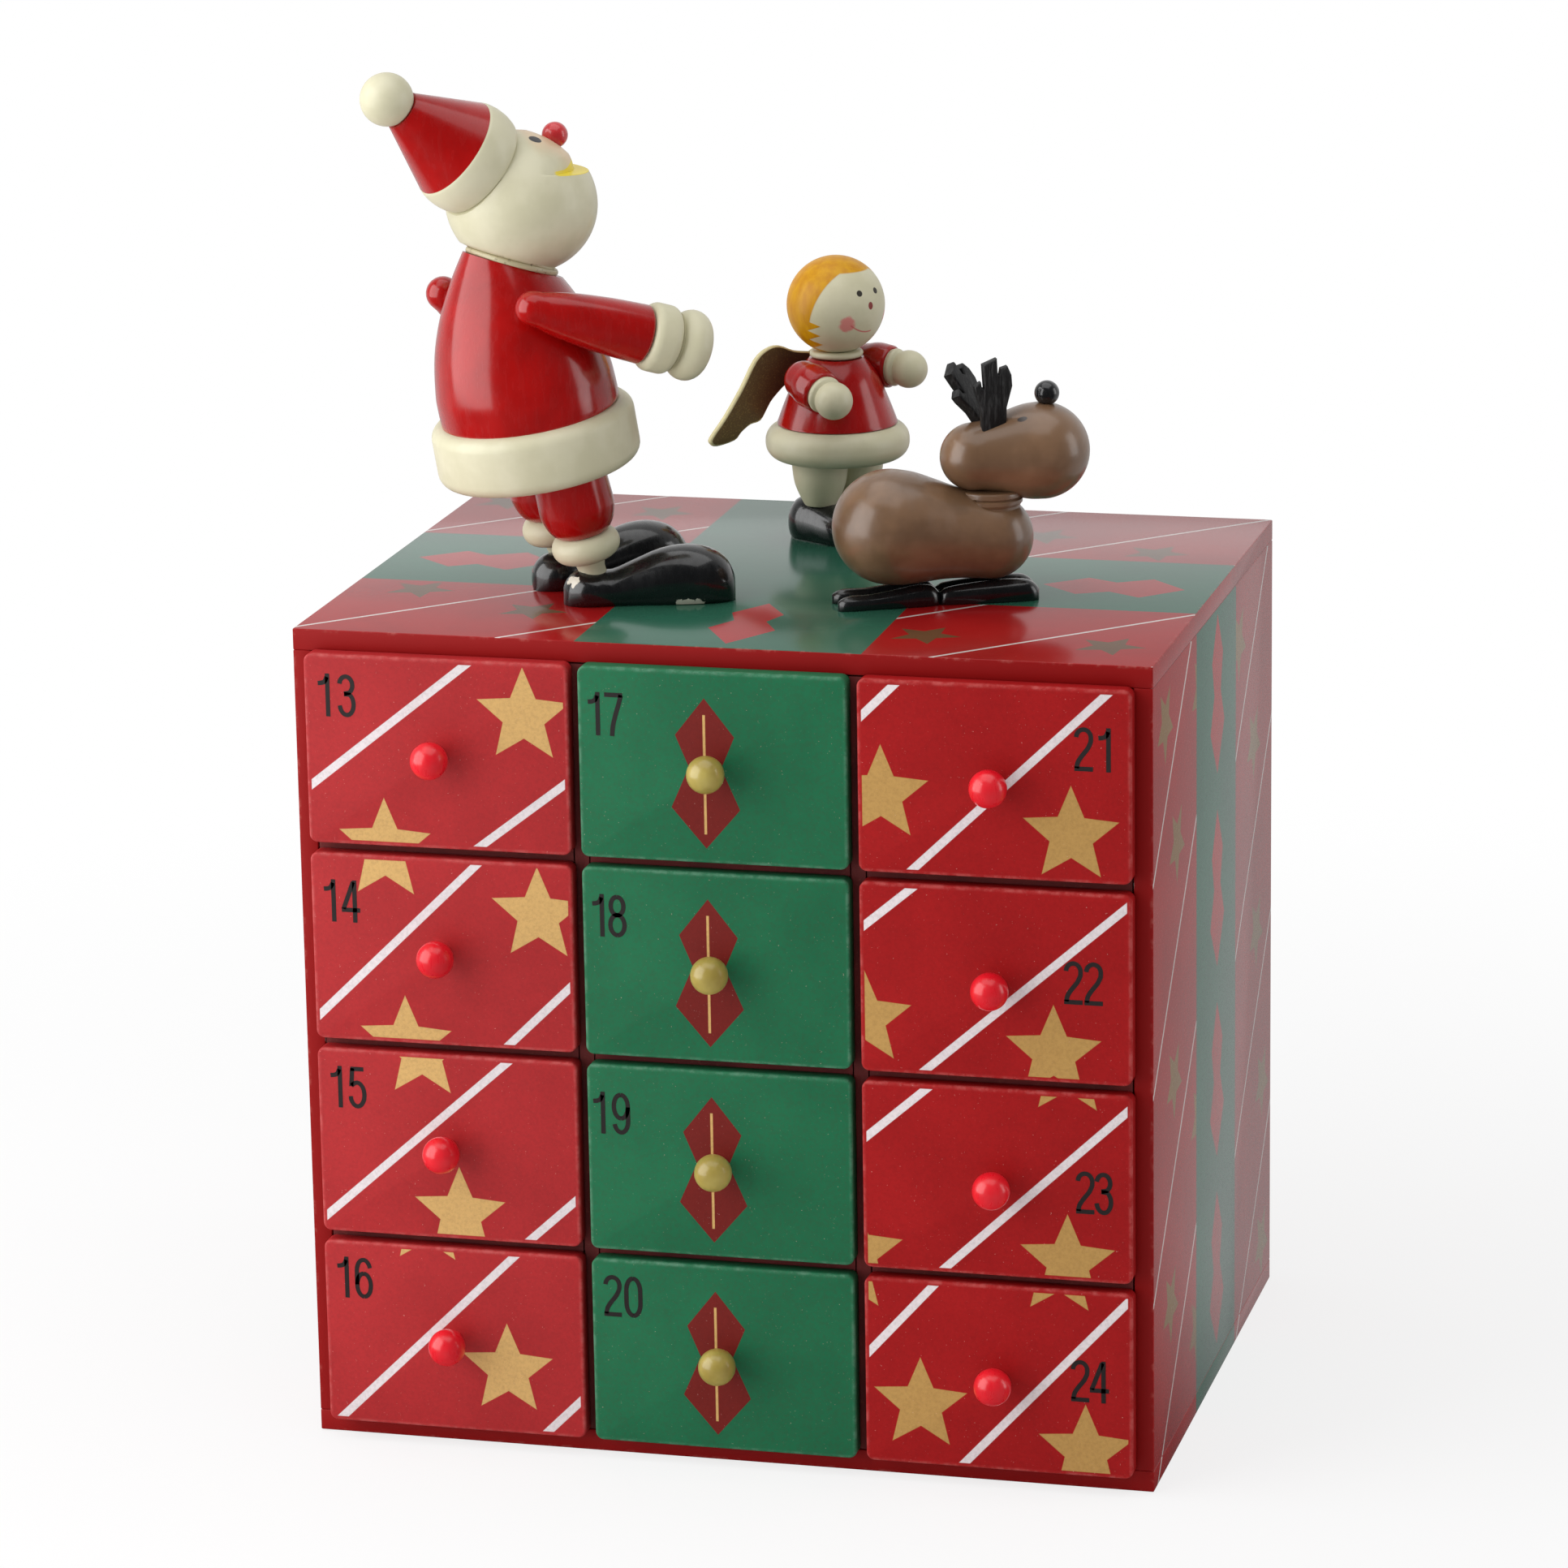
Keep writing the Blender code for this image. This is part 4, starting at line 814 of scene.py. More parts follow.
digitPaths["9"] = [[(3.0 - x, 8.15 - z) for x, z in path] for path in digitPaths["6"]]


def makeDigit(name, paths, look):
    # Every path becomes a thin flat strip.
    strips = []
    for path in paths:
        spots = [Vector(spot) for spot in path]
        left, right = [], []
        for index, spot in enumerate(spots):
            along = (spots[min(index + 1, len(spots) - 1)] - spots[max(index - 1, 0)]).normalized()
            off = Vector((-along.y, along.x)) * look["pen"] / 2
            left.append(spot + off)
            right.append(spot - off)
        strips.append(cutOut(name, left + right[::-1], look["ink"], 0))
    return joined(strips)


digitShapes = {digit: makeDigit("digit" + digit, paths, digitLook) for digit, paths in digitPaths.items()}


def makeNumeral(number, place):
    # The first digit keeps to the left end of its printed width and the last to the right end.
    across, up, width, height = place
    foot = (up - height / 2 + digitLook["pen"] / 2) * mm
    digits = [twin(digitShapes[digit], f"numeral_{number:02d}") for digit in str(number)]
    for digit in digits:
        low, high = min(v.co.x for v in digit.data.vertices), max(v.co.x for v in digit.data.vertices)
        start = -width / 2 * mm - low if digit is digits[0] else width / 2 * mm - high
        if len(digits) == 1:
            start = -(low + high) / 2
        setIn(digit, Matrix.Translation((across * mm + start, -(frontFace + 0.02) * mm, foot)))
    return joined(digits)


frontShape = makeFront(frontLook)
trayShape = makeTray(trayLook)
knobShape = makeKnob(knobLook)
for number in range(1, 25):
    inFront = number > 12
    printed = number if inFront else number + 12
    column, row = divmod(printed - 13, 4)
    green = column == greenColumn
    side = 1 if inFront else -1
    spot = (side * columnPlaces[column], -side * caseSize["depth"] / 2, rowHeights[row])
    place = moved(*spot) @ rolled(0 if inFront else 180)
    body = f"drawer_{number:02d}"
    pieces = {
        "front": (frontShape, frontPapers[17 if green else printed]),
        "tray": (trayShape, trayBoard),
        "knob": (knobShape, goldBead if green else redBead),
    }
    for kind, (shape, paint) in pieces.items():
        finished(setIn(twin(shape, f"{kind}_{number:02d}"), place), paint, body, body)
    numeral = setIn(makeNumeral(number, numeralPlaces[printed]), place)
    finished(numeral, numeralInk, body, body)
for shape in (frontShape, trayShape, knobShape, *digitShapes.values()):
    bpy.data.objects.remove(shape)
print("24 drawers fitted")


# Santa. Lengths are in millimetres, X runs ahead of the figure and Y to its left.

santa = {
    "place": (-39, -26), "turn": 41, "bodyLean": 9.5, "coatLean": 12.2,
    "hem": (-9.7, 0, 27.7), "hemRadius": 21.3, "hemHeight": 12.8, "hemEdge": 2.8,
    "coatRadius": 18.7, "coatHeight": 37.5,
    "coatShape": [(0.0, 1.0), (0.12, 1.0), (0.22, 0.985), (0.43, 0.90), (0.64, 0.74), (0.83, 0.53), (1.0, 0.30)],
    "head": (-12.4, 0, 84.9), "headRadius": 15.6, "ledge": (0.087, 0, 0.996), "mouth": 6.4, "carve": 1.7, "notch": 1.3,
    "neckLean": 18, "neckDrop": 12.4, "ringRadius": 9.5, "ringHeight": 1.4, "ringAhead": 1.4,
    "hatLean": -52.4, "hatStart": 11.1, "rimRadius": 10.8, "brimRadius": 11.7, "brimHeight": 7.8,
    "tipRadius": 4.3, "coneHeight": 14.2, "pompomRadius": 5.5, "noseRadius": 2.7, "noseLean": 32, "noseReach": 14.5,
    "shoulderRadius": 3.6, "sleeveLength": 25.0, "sleeveEnd": 6.2, "cuffRadius": 7.2, "cuffLength": 6.4,
    "wristRadius": 6.3, "mittenRadius": 7.4, "mittenLength": 7.2,
    "ankleForward": -1.7, "ankleSpacing": 19.2, "ankleFoot": 5.6, "ankleRadius": 3.0, "ankleLength": 4.3,
    "stanceTurn": -6, "legLean": 13, "legCuff": 7.2, "legCuffHeight": 6.0, "legLow": 5.8, "legTop": 7.9,
    "boot": (36.2, 13.8, 11.8), "heel": 6.6,
    "chips": [(24.4, -5.2, 0.4), (26.2, -5.3, 0.4), (28.0, -5.2, 0.4), (1.9, -2.0, 5.3), (2.7, -3.0, 5.2)],
    "left": {"drop": 37, "armBack": 7.4, "armLower": 1.3, "bootTurn": 3, "bootShift": (-1.6, -2.0, 0)},
    "right": {"drop": 17.5, "armBack": 2.6, "armLower": 0, "bootTurn": -21, "bootShift": (0, 0, 0)},
}
bootShape = [
    (0.0, 0.0, 0.25), (0.03, 0.44, 0.46), (0.10, 0.74, 0.62), (0.19, 0.82, 0.62), (0.29, 0.74, 0.60),
    (0.42, 0.78, 0.76), (0.57, 0.91, 0.94), (0.72, 1.0, 1.0), (0.85, 0.96, 0.93), (0.94, 0.74, 0.76),
    (0.985, 0.44, 0.52), (1.0, 0.0, 0.32),
]
shoeShape = [
    (0.0, 0.0, 0.40), (0.03, 0.42, 0.68), (0.12, 0.80, 0.92), (0.26, 1.0, 1.0), (0.45, 0.97, 0.96),
    (0.66, 0.97, 0.86), (0.84, 0.84, 0.74), (0.96, 0.48, 0.54), (1.0, 0.0, 0.32),
]


def makeShoe(name, shape, length, width, height):
    # A ring that is extruded along X and resized at each step, then cut flat for the sole.
    stations = flowing([Vector(station) for station in shape], 3)
    waist = 0.42
    along, wide, high = stations[1]
    circle = {"vertices": 40, "radius": mm, "fill_type": "NGON", "rotation": (0, math.pi / 2, 0)}
    piece = started(name, bpy.ops.mesh.primitive_circle_add, **circle)
    applyPlace(piece)
    startEdit(piece, "FACE")
    selectAll()
    bpy.ops.transform.resize(value=(1, wide * width / 2, high * height * (1 - waist)), center_override=(0, 0, 0))
    bpy.ops.transform.translate(value=(along * length * mm, 0, high * height * waist * mm))
    for before, after in zip(stations[1:-2], stations[2:-1]):
        pull((after[0] - before[0]) * length, 0, 0)
        bpy.ops.transform.resize(
            value=(1, after[1] / before[1], after[2] / before[2]), center_override=(after[0] * length * mm, 0, 0),
        )
    faceOut()
    endEdit()
    shaveOff(piece, (0, 0, 0), (0, 0, -1))
    startEdit(piece)
    pick(piece, "edges", lambda point: point.z < 0.01 * mm)
    roundOver(0.35, 2)
    endEdit()
    return softened(piece, 45)


def coatProfile(look):
    barrel = [(width * look["coatRadius"], lift * look["coatHeight"]) for lift, width in look["coatShape"]]
    barrel = flowing(barrel, 5)
    foot = barrel[0][0]
    return [(0, 0), (foot - 0.5, 0), (foot - 0.12, 0.12), (foot, 0.5)] + barrel[2:] + [(0, look["coatHeight"])]


def santaHead(look, stance):
    # One turned ball. Above the mouth the face is carved back, and the mouth itself is a notch.
    foot = -look["neckDrop"] - look["ringHeight"]
    collar, radius = look["ringRadius"], look["headRadius"]
    profile = [(0, foot), (collar, foot)] + arc(collar, foot + 0.6, 0.35, 0.6, -80, 80, 6)
    profile.append((collar - 0.2, foot + look["ringHeight"] - 0.1))
    profile += arc(0, -0.9, radius + 0.2, radius - 0.9, -math.degrees(math.acos(collar / radius)), 90, 60)
    head = lathe("santaHead", profile, 96)
    # The ring stands a little ahead of the ball's middle.
    for vert in head.data.vertices:
        if vert.co.z < (foot + look["ringHeight"]) * mm:
            vert.co.y -= look["ringAhead"] * mm
    setIn(head, aimed(stance, look["head"], leaning(look["neckLean"])))
    centre = stance @ (Vector(look["head"]) * mm)
    turn = stance.to_3x3()
    ledge = turn @ Vector(look["ledge"]).normalized()
    hatWay = turn @ leaning(look["hatLean"])
    shaveOff(head, centre + hatWay * (look["hatStart"] + 0.1) * mm, hatWay)
    lips = [look["mouth"] + rise for rise in (0, 0.05, 0.6, 1.3, 2.1, 3.0)]
    for lip in lips:
        startEdit(head)
        selectAll()
        bpy.ops.mesh.bisect(plane_co=centre + ledge * lip * mm, plane_no=ledge, threshold=mm * 0.002)
        endEdit()
    ahead = turn @ Vector((1, 0, 0))
    for vert in head.data.vertices:
        away = vert.co - centre
        lift = away.dot(ledge) / mm
        if lift < lips[0] + 0.02:
            continue
        facing = min(max((away.normalized().dot(ahead) + 0.12) / 0.60, 0), 1)
        facing = facing * facing * (3 - 2 * facing)
        notch = max(0, 1 - (lift - lips[1]) / (lips[-1] - lips[1]))
        back = facing * (look["carve"] * min((lift - lips[0]) / 0.05, 1) + look["notch"] * notch)
        vert.co -= (away - ledge * away.dot(ledge)).normalized() * back * mm
    startEdit(head)
    selectAll()
    bpy.ops.mesh.remove_doubles(threshold=mm * 0.01)
    endEdit()
    return softened(head, 32)


def facePaint(stance, look):
    # Skin tone between the brim and the mouth, dots for eyes and a line for the mouth.
    finish = Finish("santaFacePaint")
    away = finish.away(stance @ (Vector(look["head"]) * mm) * 1000)
    turn = stance.to_3x3()
    x, y, z = finish.figureAxes(finish.vector("NORMALIZE", {0: away}), stance)
    off = abs(y)
    broad, fine = finish.brushed(creamTone, 8, 0.6, 0.7)
    skin = finish.ease(off, 0.80, 0.45) * finish.ease(x, -0.18, 0.05) * finish.ease(z, 0.38, 0.48)
    finish.cover(skin * 0.55, (226, 186, 148))
    eye = finish.ease(finish.distance(finish.point(x, off, z), (0.05, 0.40, 0.91)), 0.105, 0.09)
    finish.cover(eye, (30, 30, 34))
    lift, mouth = finish.reach(away, turn @ Vector(look["ledge"])), look["mouth"]
    lipTop = finish.ease(x, 0.40, 0.85) * 2.3 + mouth + 0.6
    painted = finish.ease(lift, mouth - 0.15, mouth - 0.05) * finish.ease(lipTop - lift, -0.05, 0.05)
    finish.cover(painted * finish.ease(x, 0.10, 0.18), (236, 212, 10))
    # The neck ring is coloured a darker beige, with dark chips.
    under = finish.reach(away, turn @ leaning(look["neckLean"]))
    collar = finish.ease(under, -look["neckDrop"] + 0.3, -look["neckDrop"] - 0.1)
    nicks = finish.ease(finish.noise(1.3, 4, 0.7), 0.56, 0.64)
    finish.cover(collar * 0.5, (176, 160, 118))
    finish.cover(collar * nicks * 0.8, (96, 74, 50))
    return finish.wear(
        Roughness=0.38 + fine * 0.12, Coat_Weight=0.25, Coat_Roughness=0.1,
        Normal=finish.bump(fine * 0.4 + broad * 0.5, 0.05, 0.5),
    )


def santaHat(look, hatSet):
    height, rim, foot = look["brimHeight"], look["rimRadius"], look["hatStart"]
    top, bulge = foot + height, look["brimRadius"] - rim
    brim = [(0, foot), (rim - 0.5, foot)] + flowing([
        (rim - 0.1, foot + 0.15), (rim + bulge * 0.4, foot + 0.9), (rim + bulge * 0.9, foot + height * 0.35),
        (rim + bulge, foot + height * 0.6), (rim + bulge * 0.8, top - 1.6), (rim + bulge * 0.5, top - 0.5),
        (rim + bulge * 0.2, top),
    ]) + [(0, top)]
    turned("santaHatBrim", brim, hatSet, creamPaint, "santa_hat", 64)
    coneTop, base, tip = top + look["coneHeight"], rim + bulge * 0.2, look["tipRadius"]
    cone = [(0, top - 0.4), (base - 0.3, top - 0.4), (base - 0.02, top + 0.05), (tip, coneTop), (0, coneTop)]
    turned("santaHatCone", cone, hatSet, coatPaint, "santa_hat", 64)
    sink = math.degrees(math.acos(tip * 0.85 / look["pompomRadius"]))
    middle = coneTop + 0.1 + look["pompomRadius"] * math.sin(math.radians(sink))
    pompom = [(0, coneTop + 0.1)] + ball(look["pompomRadius"], middle, -sink, steps=24)
    turned("santaPompom", pompom, hatSet, creamPaint, "santa_hat_pompom")


def santaArm(look, name, armSet):
    r, end, length = look["shoulderRadius"], look["sleeveEnd"], look["sleeveLength"]
    swell = end - r
    sleeve = ball(r, high=-10, steps=8) + flowing([
        (r + 0.1, 1.2), (r + swell * 0.5, length * 0.3), (r + swell * 0.85, length * 0.65), (end, length - 0.4),
    ], 4) + [(end - 0.3, length), (0, length)]
    turned(f"santaSleeve_{name}", sleeve, armSet, coatPaint, f"santa_{name}_sleeve")
    foot = length + 0.2
    top, edge, reach = foot + look["cuffLength"], look["cuffLength"] * 0.3, look["mittenLength"] / 2
    inner = look["cuffRadius"] - edge
    cuff = [(0, foot)] + arc(inner, foot + edge, edge, edge, -85, 0, 6) + arc(inner, top - edge, edge, edge, 0, 75, 6)
    cuff += [(look["wristRadius"], top + 0.1)]
    cuff += arc(look["mittenRadius"] - reach, top + reach + 0.1, reach, reach, -62, 90, 14)
    cuff += [(0, top + look["mittenLength"] + 0.1)]
    turned(f"santaMitten_{name}", cuff, armSet, creamPaint, f"santa_{name}_mitten")


def santaLeg(look, name, legSet):
    ankle, foot, half = look["ankleRadius"], look["ankleLength"], look["legCuffHeight"] / 2
    top, trouserTop = foot + look["legCuffHeight"], look["hem"][2] + look["hemHeight"] / 2 - 7
    peg = [(0, 0), (ankle, 0), (ankle - 0.15, foot * 0.5), (ankle + 0.3, foot)]
    peg += arc(look["legCuff"] - half, foot + half, half, half, -72, 78, 14) + [(0, top)]
    turned(f"santaAnkle_{name}", peg, legSet, creamPaint, f"santa_{name}_leg")
    low, high = look["legLow"], look["legTop"]
    swell = high - low
    trouser = [(0, top - 0.3)] + flowing([
        (low - 0.6, top - 0.2), (low + 0.3, top + 0.5), (low + swell * 0.62, top + swell),
        (high - swell * 0.04, top + swell * 2.2), (high, top + swell * 3.4), (high - 0.4, trouserTop),
    ], 5) + [(0, trouserTop)]
    turned(f"santaTrouser_{name}", trouser, legSet, coatPaint, f"santa_{name}_leg")


def makeSanta(look):
    stance = standing(look)
    bodyUp, neckUp = leaning(-look["bodyLean"]), leaning(look["neckLean"])
    hem, head = Vector(look["hem"]), Vector(look["head"])
    coatFoot = hem + bodyUp * (look["hemHeight"] + glueGap)
    disc = roundedDisc(look["hemRadius"], 0, look["hemHeight"], look["hemEdge"])
    turned("santaHem", disc, aimed(stance, hem, bodyUp), creamPaint, "santa_coat_hem", 80)
    coatSet = aimed(stance, coatFoot - bodyUp * 0.8, leaning(-look["coatLean"]))
    coat = setIn(lathe("santaCoat", coatProfile(look), 80), coatSet)
    neckFoot = head - neckUp * (look["neckDrop"] + look["ringHeight"] + 0.02)
    shaveOff(coat, stance @ (neckFoot * mm), stance.to_3x3() @ neckUp)
    finished(softened(coat), coatPaint, "santa_coat")
    finished(santaHead(look, stance), facePaint(stance, look), "santa_head")
    noseWay = leaning(look["noseLean"])
    noseSet = aimed(stance, head + noseWay * look["noseReach"], noseWay)
    turned("santaNose", ball(look["noseRadius"]), noseSet, noseRed, "santa_nose", 36)
    santaHat(look, aimed(stance, head, leaning(look["hatLean"])))

    ahead = leaning(90 - look["bodyLean"])
    for side, name in sides:
        own = look[name]
        shoulder = coatFoot + bodyUp * (look["coatHeight"] * 0.676 - own["armLower"]) - ahead * own["armBack"]
        shoulder.y = side * look["coatRadius"] * 0.936
        santaArm(look, name, aimed(stance, shoulder, leaning(90 + own["drop"], side * 4.5)))
        ankle = rolled(look["stanceTurn"]).to_3x3() @ Vector((0, side * look["ankleSpacing"] / 2, 0))
        ankle += Vector((look["ankleForward"], 0, look["ankleFoot"]))
        santaLeg(look, name, aimed(stance, ankle, leaning(-look["legLean"])))
        facing = rolled(own["bootTurn"])
        heel = ankle - facing.to_3x3() @ Vector((look["heel"], 0, 0)) + Vector(own["bootShift"])
        boot = makeShoe(f"santaBoot_{name}", bootShape, *look["boot"])
        bootSet = stance @ moved(heel.x, heel.y, soleGap) @ facing
        bare = [bootSet @ (Vector(chip) * mm) * 1000 for chip in look["chips"]]
        paint = blackPaint if side > 0 else enamel("chippedBlack", blackTone, 0.22, coat=0.7, chips=bare)
        finished(setIn(boot, bootSet), paint, f"santa_{name}_boot")


makeSanta(santa)
print("first figure turned")


# Angel

angel = {
    "place": (0.3, 36.0), "turn": -31, "shoe": (19, 9.4, 9.3), "shoeBack": 8.4,
    "legSpacing": 11, "legFoot": 7.8, "legLow": 3.7, "legTop": 6.1,
    "hemLift": 17.4, "hemHeight": 7.7, "hemRadius": 15.6,
    "dressRadius": 13, "dressHeight": 14.1, "dressTop": 6.8,
    "neckRadius": 5.8, "neckHeight": 1.4, "headRadius": 10.6, "headSeat": 0.8,
    "shoulder": (-1.0, 9.8, 3.0), "shoulderRadius": 4.3, "sleeveLength": 6.8, "sleeveEnd": 4.6,
    "wristRadius": 4.0, "wristLength": 1.9, "handRadius": 4.1,
    "wingThickness": 1.3, "wingBack": 8.4, "wingSweep": 18, "wingSpan": 23, "wingHeight": 20.6, "wingRise": 2.2,
    "left": {"drop": 2, "splay": 14, "lower": 0}, "right": {"drop": 15, "splay": 8, "lower": 0.8},
}
wingShape = [
    (0.0, 0.10), (0.16, 0.07), (0.31, 0.0), (0.43, 0.02), (0.55, 0.13), (0.69, 0.41), (0.86, 0.70), (1.0, 0.90),
    (1.0, 0.97), (0.94, 1.0), (0.77, 0.96), (0.70, 0.88), (0.61, 0.81), (0.51, 0.78), (0.44, 0.66), (0.38, 0.56),
    (0.22, 0.40), (0.0, 0.28),
]


def angelPaint(stance, centre):
    # Face and hair by direction from the middle of the head: x ahead, y to the side, z up.
    finish = Finish("angelFacePaint")
    away = finish.away(stance @ (Vector(centre) * mm) * 1000)
    x, y, z = finish.figureAxes(finish.vector("NORMALIZE", {0: away}), stance)
    off = abs(y)
    broad, fine = finish.brushed(creamTone, 7, 0.6, 0.7)
    ragged = (finish.noise(1.1, 3) - 0.5) * 0.14
    turnedSpot = finish.point(x, abs(y - 0.09), z)
    cheek = finish.ease(finish.distance(turnedSpot, (0.82, 0.59, -0.25)) + ragged, 0.20, 0.12)
    finish.cover(cheek * 0.75, (222, 104, 112))
    curve = abs(z + 0.45 - off * off * 0.9)
    smile = finish.ease(curve, 0.020, 0.010) * finish.between(y, -0.44, 0.10, 0.02) * finish.ease(x, 0.3, 0.4)
    finish.cover(smile * 0.8, (206, 90, 96))
    nose = finish.ease(finish.distance(finish.point(x, y * 1.25, z), (0.995, 0, 0.09)), 0.085, 0.070)
    finish.cover(nose, (132, 26, 20))
    eye = finish.ease(finish.distance(finish.point(x, off, z), (0.905, 0.225, 0.36)), 0.072, 0.058)
    finish.cover(eye, (52, 46, 40))
    jags = finish.maths("PINGPONG", (z + 0.292) / 0.21, 0.5) * -0.56 + 0.25
    edge = z * 0.35 + 0.27 + jags * finish.ease(z, -0.18, -0.24)
    hair = finish.either(finish.ease(edge - x, -0.02, 0.02), finish.ease(z, 0.73, 0.76))
    streak = finish.noise(1.6, 3, squeeze=(1, 1, 0.3))
    finish.cover(hair, finish.blend(finish.ease(streak, 0.3, 0.7), (198, 134, 0), (212, 154, 0)))
    return finish.wear(
        Roughness=0.34 + fine * 0.12, Specular_IOR_Level=0.3, Coat_Weight=0.04, Coat_Roughness=0.1,
        Normal=finish.bump(fine * 0.4 + broad * 0.5 + hair * 1.6, 0.05, 0.6),
    )


def bronzePaint(stance, look):
    # Gold paint with painted shade: dark brown by the body, turning to gold outward. The cut edges carry a painted
    # highlight in pale gold.
    finish = Finish("bronzePaint")
    turn = stance.to_3x3()
    out = abs(finish.reach(finish.away(stance @ Vector((0, 0, 0)) * 1000), turn @ Vector((0, 1, 0))))
    facing = finish.node("ShaderNodeTexCoord", output="Normal")
    sweep = math.radians(look["wingSweep"])
    ways = [Vector((math.cos(sweep), side * math.sin(sweep), 0)) for side in (1, -1)]
    flat = finish.either(*[abs(finish.reach(facing, turn @ way)) for way in ways])
    broad, glitter = finish.noise(5, 4), finish.noise(0.35, 3, 0.7)
    # Painted shade: dark brown by the body, fading outward.
    outOfShade = finish.ease(out + broad * 8, 6, 22)
    finish.colour = finish.blend(outOfShade, (58, 38, 24), (112, 92, 56))
    finish.cover(finish.ease(glitter, 0.5, 0.7) * (outOfShade * 0.5 + 0.15), (176, 156, 100))
    # Painted highlight: pale gold along the cut edges.
    edge = finish.ease(flat, 0.985, 0.90) * (broad * 0.3 + 0.75)
    finish.cover(edge, (222, 212, 164))
    return finish.wear(
        Metallic=finish.ease(glitter, 0.45, 0.65) * 0.3, Roughness=0.40 + glitter * 0.2,
        Normal=finish.bump(glitter + broad * 0.6, 0.09, 0.6),
    )


def makeWing(look, side, name, top):
    shape = flowing([Vector((look["wingSpan"] * along, -look["wingHeight"] * down)) for along, down in wingShape], 3)
    outline = [(side * (along + 0.01), down) for along, down in shape]
    wing = cutOut(f"angelWing_{name}", outline, look["wingThickness"], 0.45)
    startEdit(wing)
    faceOut()
    endEdit()
    sweep = math.tan(math.radians(look["wingSweep"]))
    for point in wing.data.vertices:
        across, forward, up = point.co
        back = look["wingBack"] * mm
        point.co = Vector((forward - back - sweep * abs(across), across, up + (top + look["wingRise"]) * mm))
    startEdit(wing)
    selectAll()
    bpy.ops.mesh.quads_convert_to_tris()
    bpy.ops.mesh.normals_make_consistent(inside=False)
    endEdit()
    return softened(wing, 50)


def makeAngel(look):
    stance = standing(look)

    def stood(name, profile, lift, paint, node, turns):
        turned(name, profile, aimed(stance, (0, 0, lift), upright), paint, node, turns)

    dressFoot = look["hemLift"] + look["hemHeight"] + glueGap
    dressTop = dressFoot + look["dressHeight"]
    hem = roundedDisc(look["hemRadius"], 0, look["hemHeight"], look["hemHeight"] * 0.46, 12)
    stood("angelHem", hem, look["hemLift"], creamPaint, "angel_dress_hem", 72)
    top, wide, tall = look["dressTop"], look["dressRadius"], look["dressHeight"]
    dress = [(0, -0.2), (wide, -0.2)] + flowing([
        (wide, 0), (wide * 0.9, tall * 0.25), (wide * 0.78, tall * 0.52), (wide * 0.66, tall * 0.76),
        (top, tall * 0.93), (top - 0.9, tall),
    ], 5) + [(0, tall)]
    stood("angelDress", dress, dressFoot, coatPaint, "angel_dress", 64)
    neck, radius = look["neckHeight"], look["headRadius"]
    middle = neck + radius - look["headSeat"]
    edge = neck / 2
    collar = [(0, 0)] + arc(look["neckRadius"] - edge, edge, edge, edge, -90, 90, 8) + [(0, neck)]
    stood("angelNeck", collar, dressTop + 0.2, creamPaint, "angel_head", 56)
    low = -math.degrees(math.asin((middle - neck) / radius))
    face = angelPaint(stance, (0, 0, dressTop + 0.3 + middle))
    stood("angelHead", [(0, neck - 0.3)] + ball(radius, middle, low, steps=40), dressTop + 0.3, face, "angel_head", 80)

    ahead, out, down = look["shoulder"]
    legFoot, legLow, legHigh, legTop = look["legFoot"], look["legLow"], look["legTop"], look["hemLift"] - 0.1
    for side, name in sides:
        own = look[name]
        shoulder = (ahead + own["lower"], side * out, dressTop - down - own["lower"])
        armSet = aimed(stance, shoulder, leaning(90 + own["drop"], side * own["splay"]))
        r, end, length = look["shoulderRadius"], look["sleeveEnd"], look["sleeveLength"]
        sleeve = ball(r, high=-12, steps=10) + flowing([(r + 0.15, 0.8), (r + 0.6, 3.2), (end, length - 0.4)], 5)
        sleeve += [(end - 0.35, length), (0, length)]
        turned(f"angelSleeve_{name}", sleeve, armSet, coatPaint, f"angel_{name}_arm")
        wrist, fist = look["wristRadius"], look["handRadius"]
        reach = math.sqrt(fist ** 2 - (wrist * 0.86) ** 2)
        hand = [(0, length - 0.2), (wrist, length - 0.2)] + arc(wrist - 0.5, length + 0.8, 0.6, 0.8, -60, 70, 6)
        lowest = -math.degrees(math.asin(reach / fist))
        hand += ball(fist, length + look["wristLength"] + reach, lowest, steps=22)
        turned(f"angelHand_{name}", hand, armSet, creamPaint, f"angel_{name}_arm")
        leg = [(0, legFoot)] + flowing([
            (legLow - 0.7, legFoot), (legLow, legFoot + 0.6),
            (legLow + (legHigh - legLow) * 0.75, (legFoot + legTop) / 2), (legHigh, legTop - 0.6), (legHigh, legTop),
        ], 5) + [(0, legTop)]
        offset = side * look["legSpacing"] / 2
        turned(f"angelLeg_{name}", leg, aimed(stance, (0, offset, 0), upright), creamPaint, "angel_legs")
        shoe = makeShoe(f"angelShoe_{name}", shoeShape, *look["shoe"])
        finished(setIn(shoe, stance @ moved(-look["shoeBack"], offset, soleGap)), blackPaint, "angel_legs")
    bronze = bronzePaint(stance, look)
    for side, name in sides:
        finished(setIn(makeWing(look, side, name, dressTop), stance), bronze, "angel_wings")


makeAngel(angel)
print("second figure turned")


# Reindeer

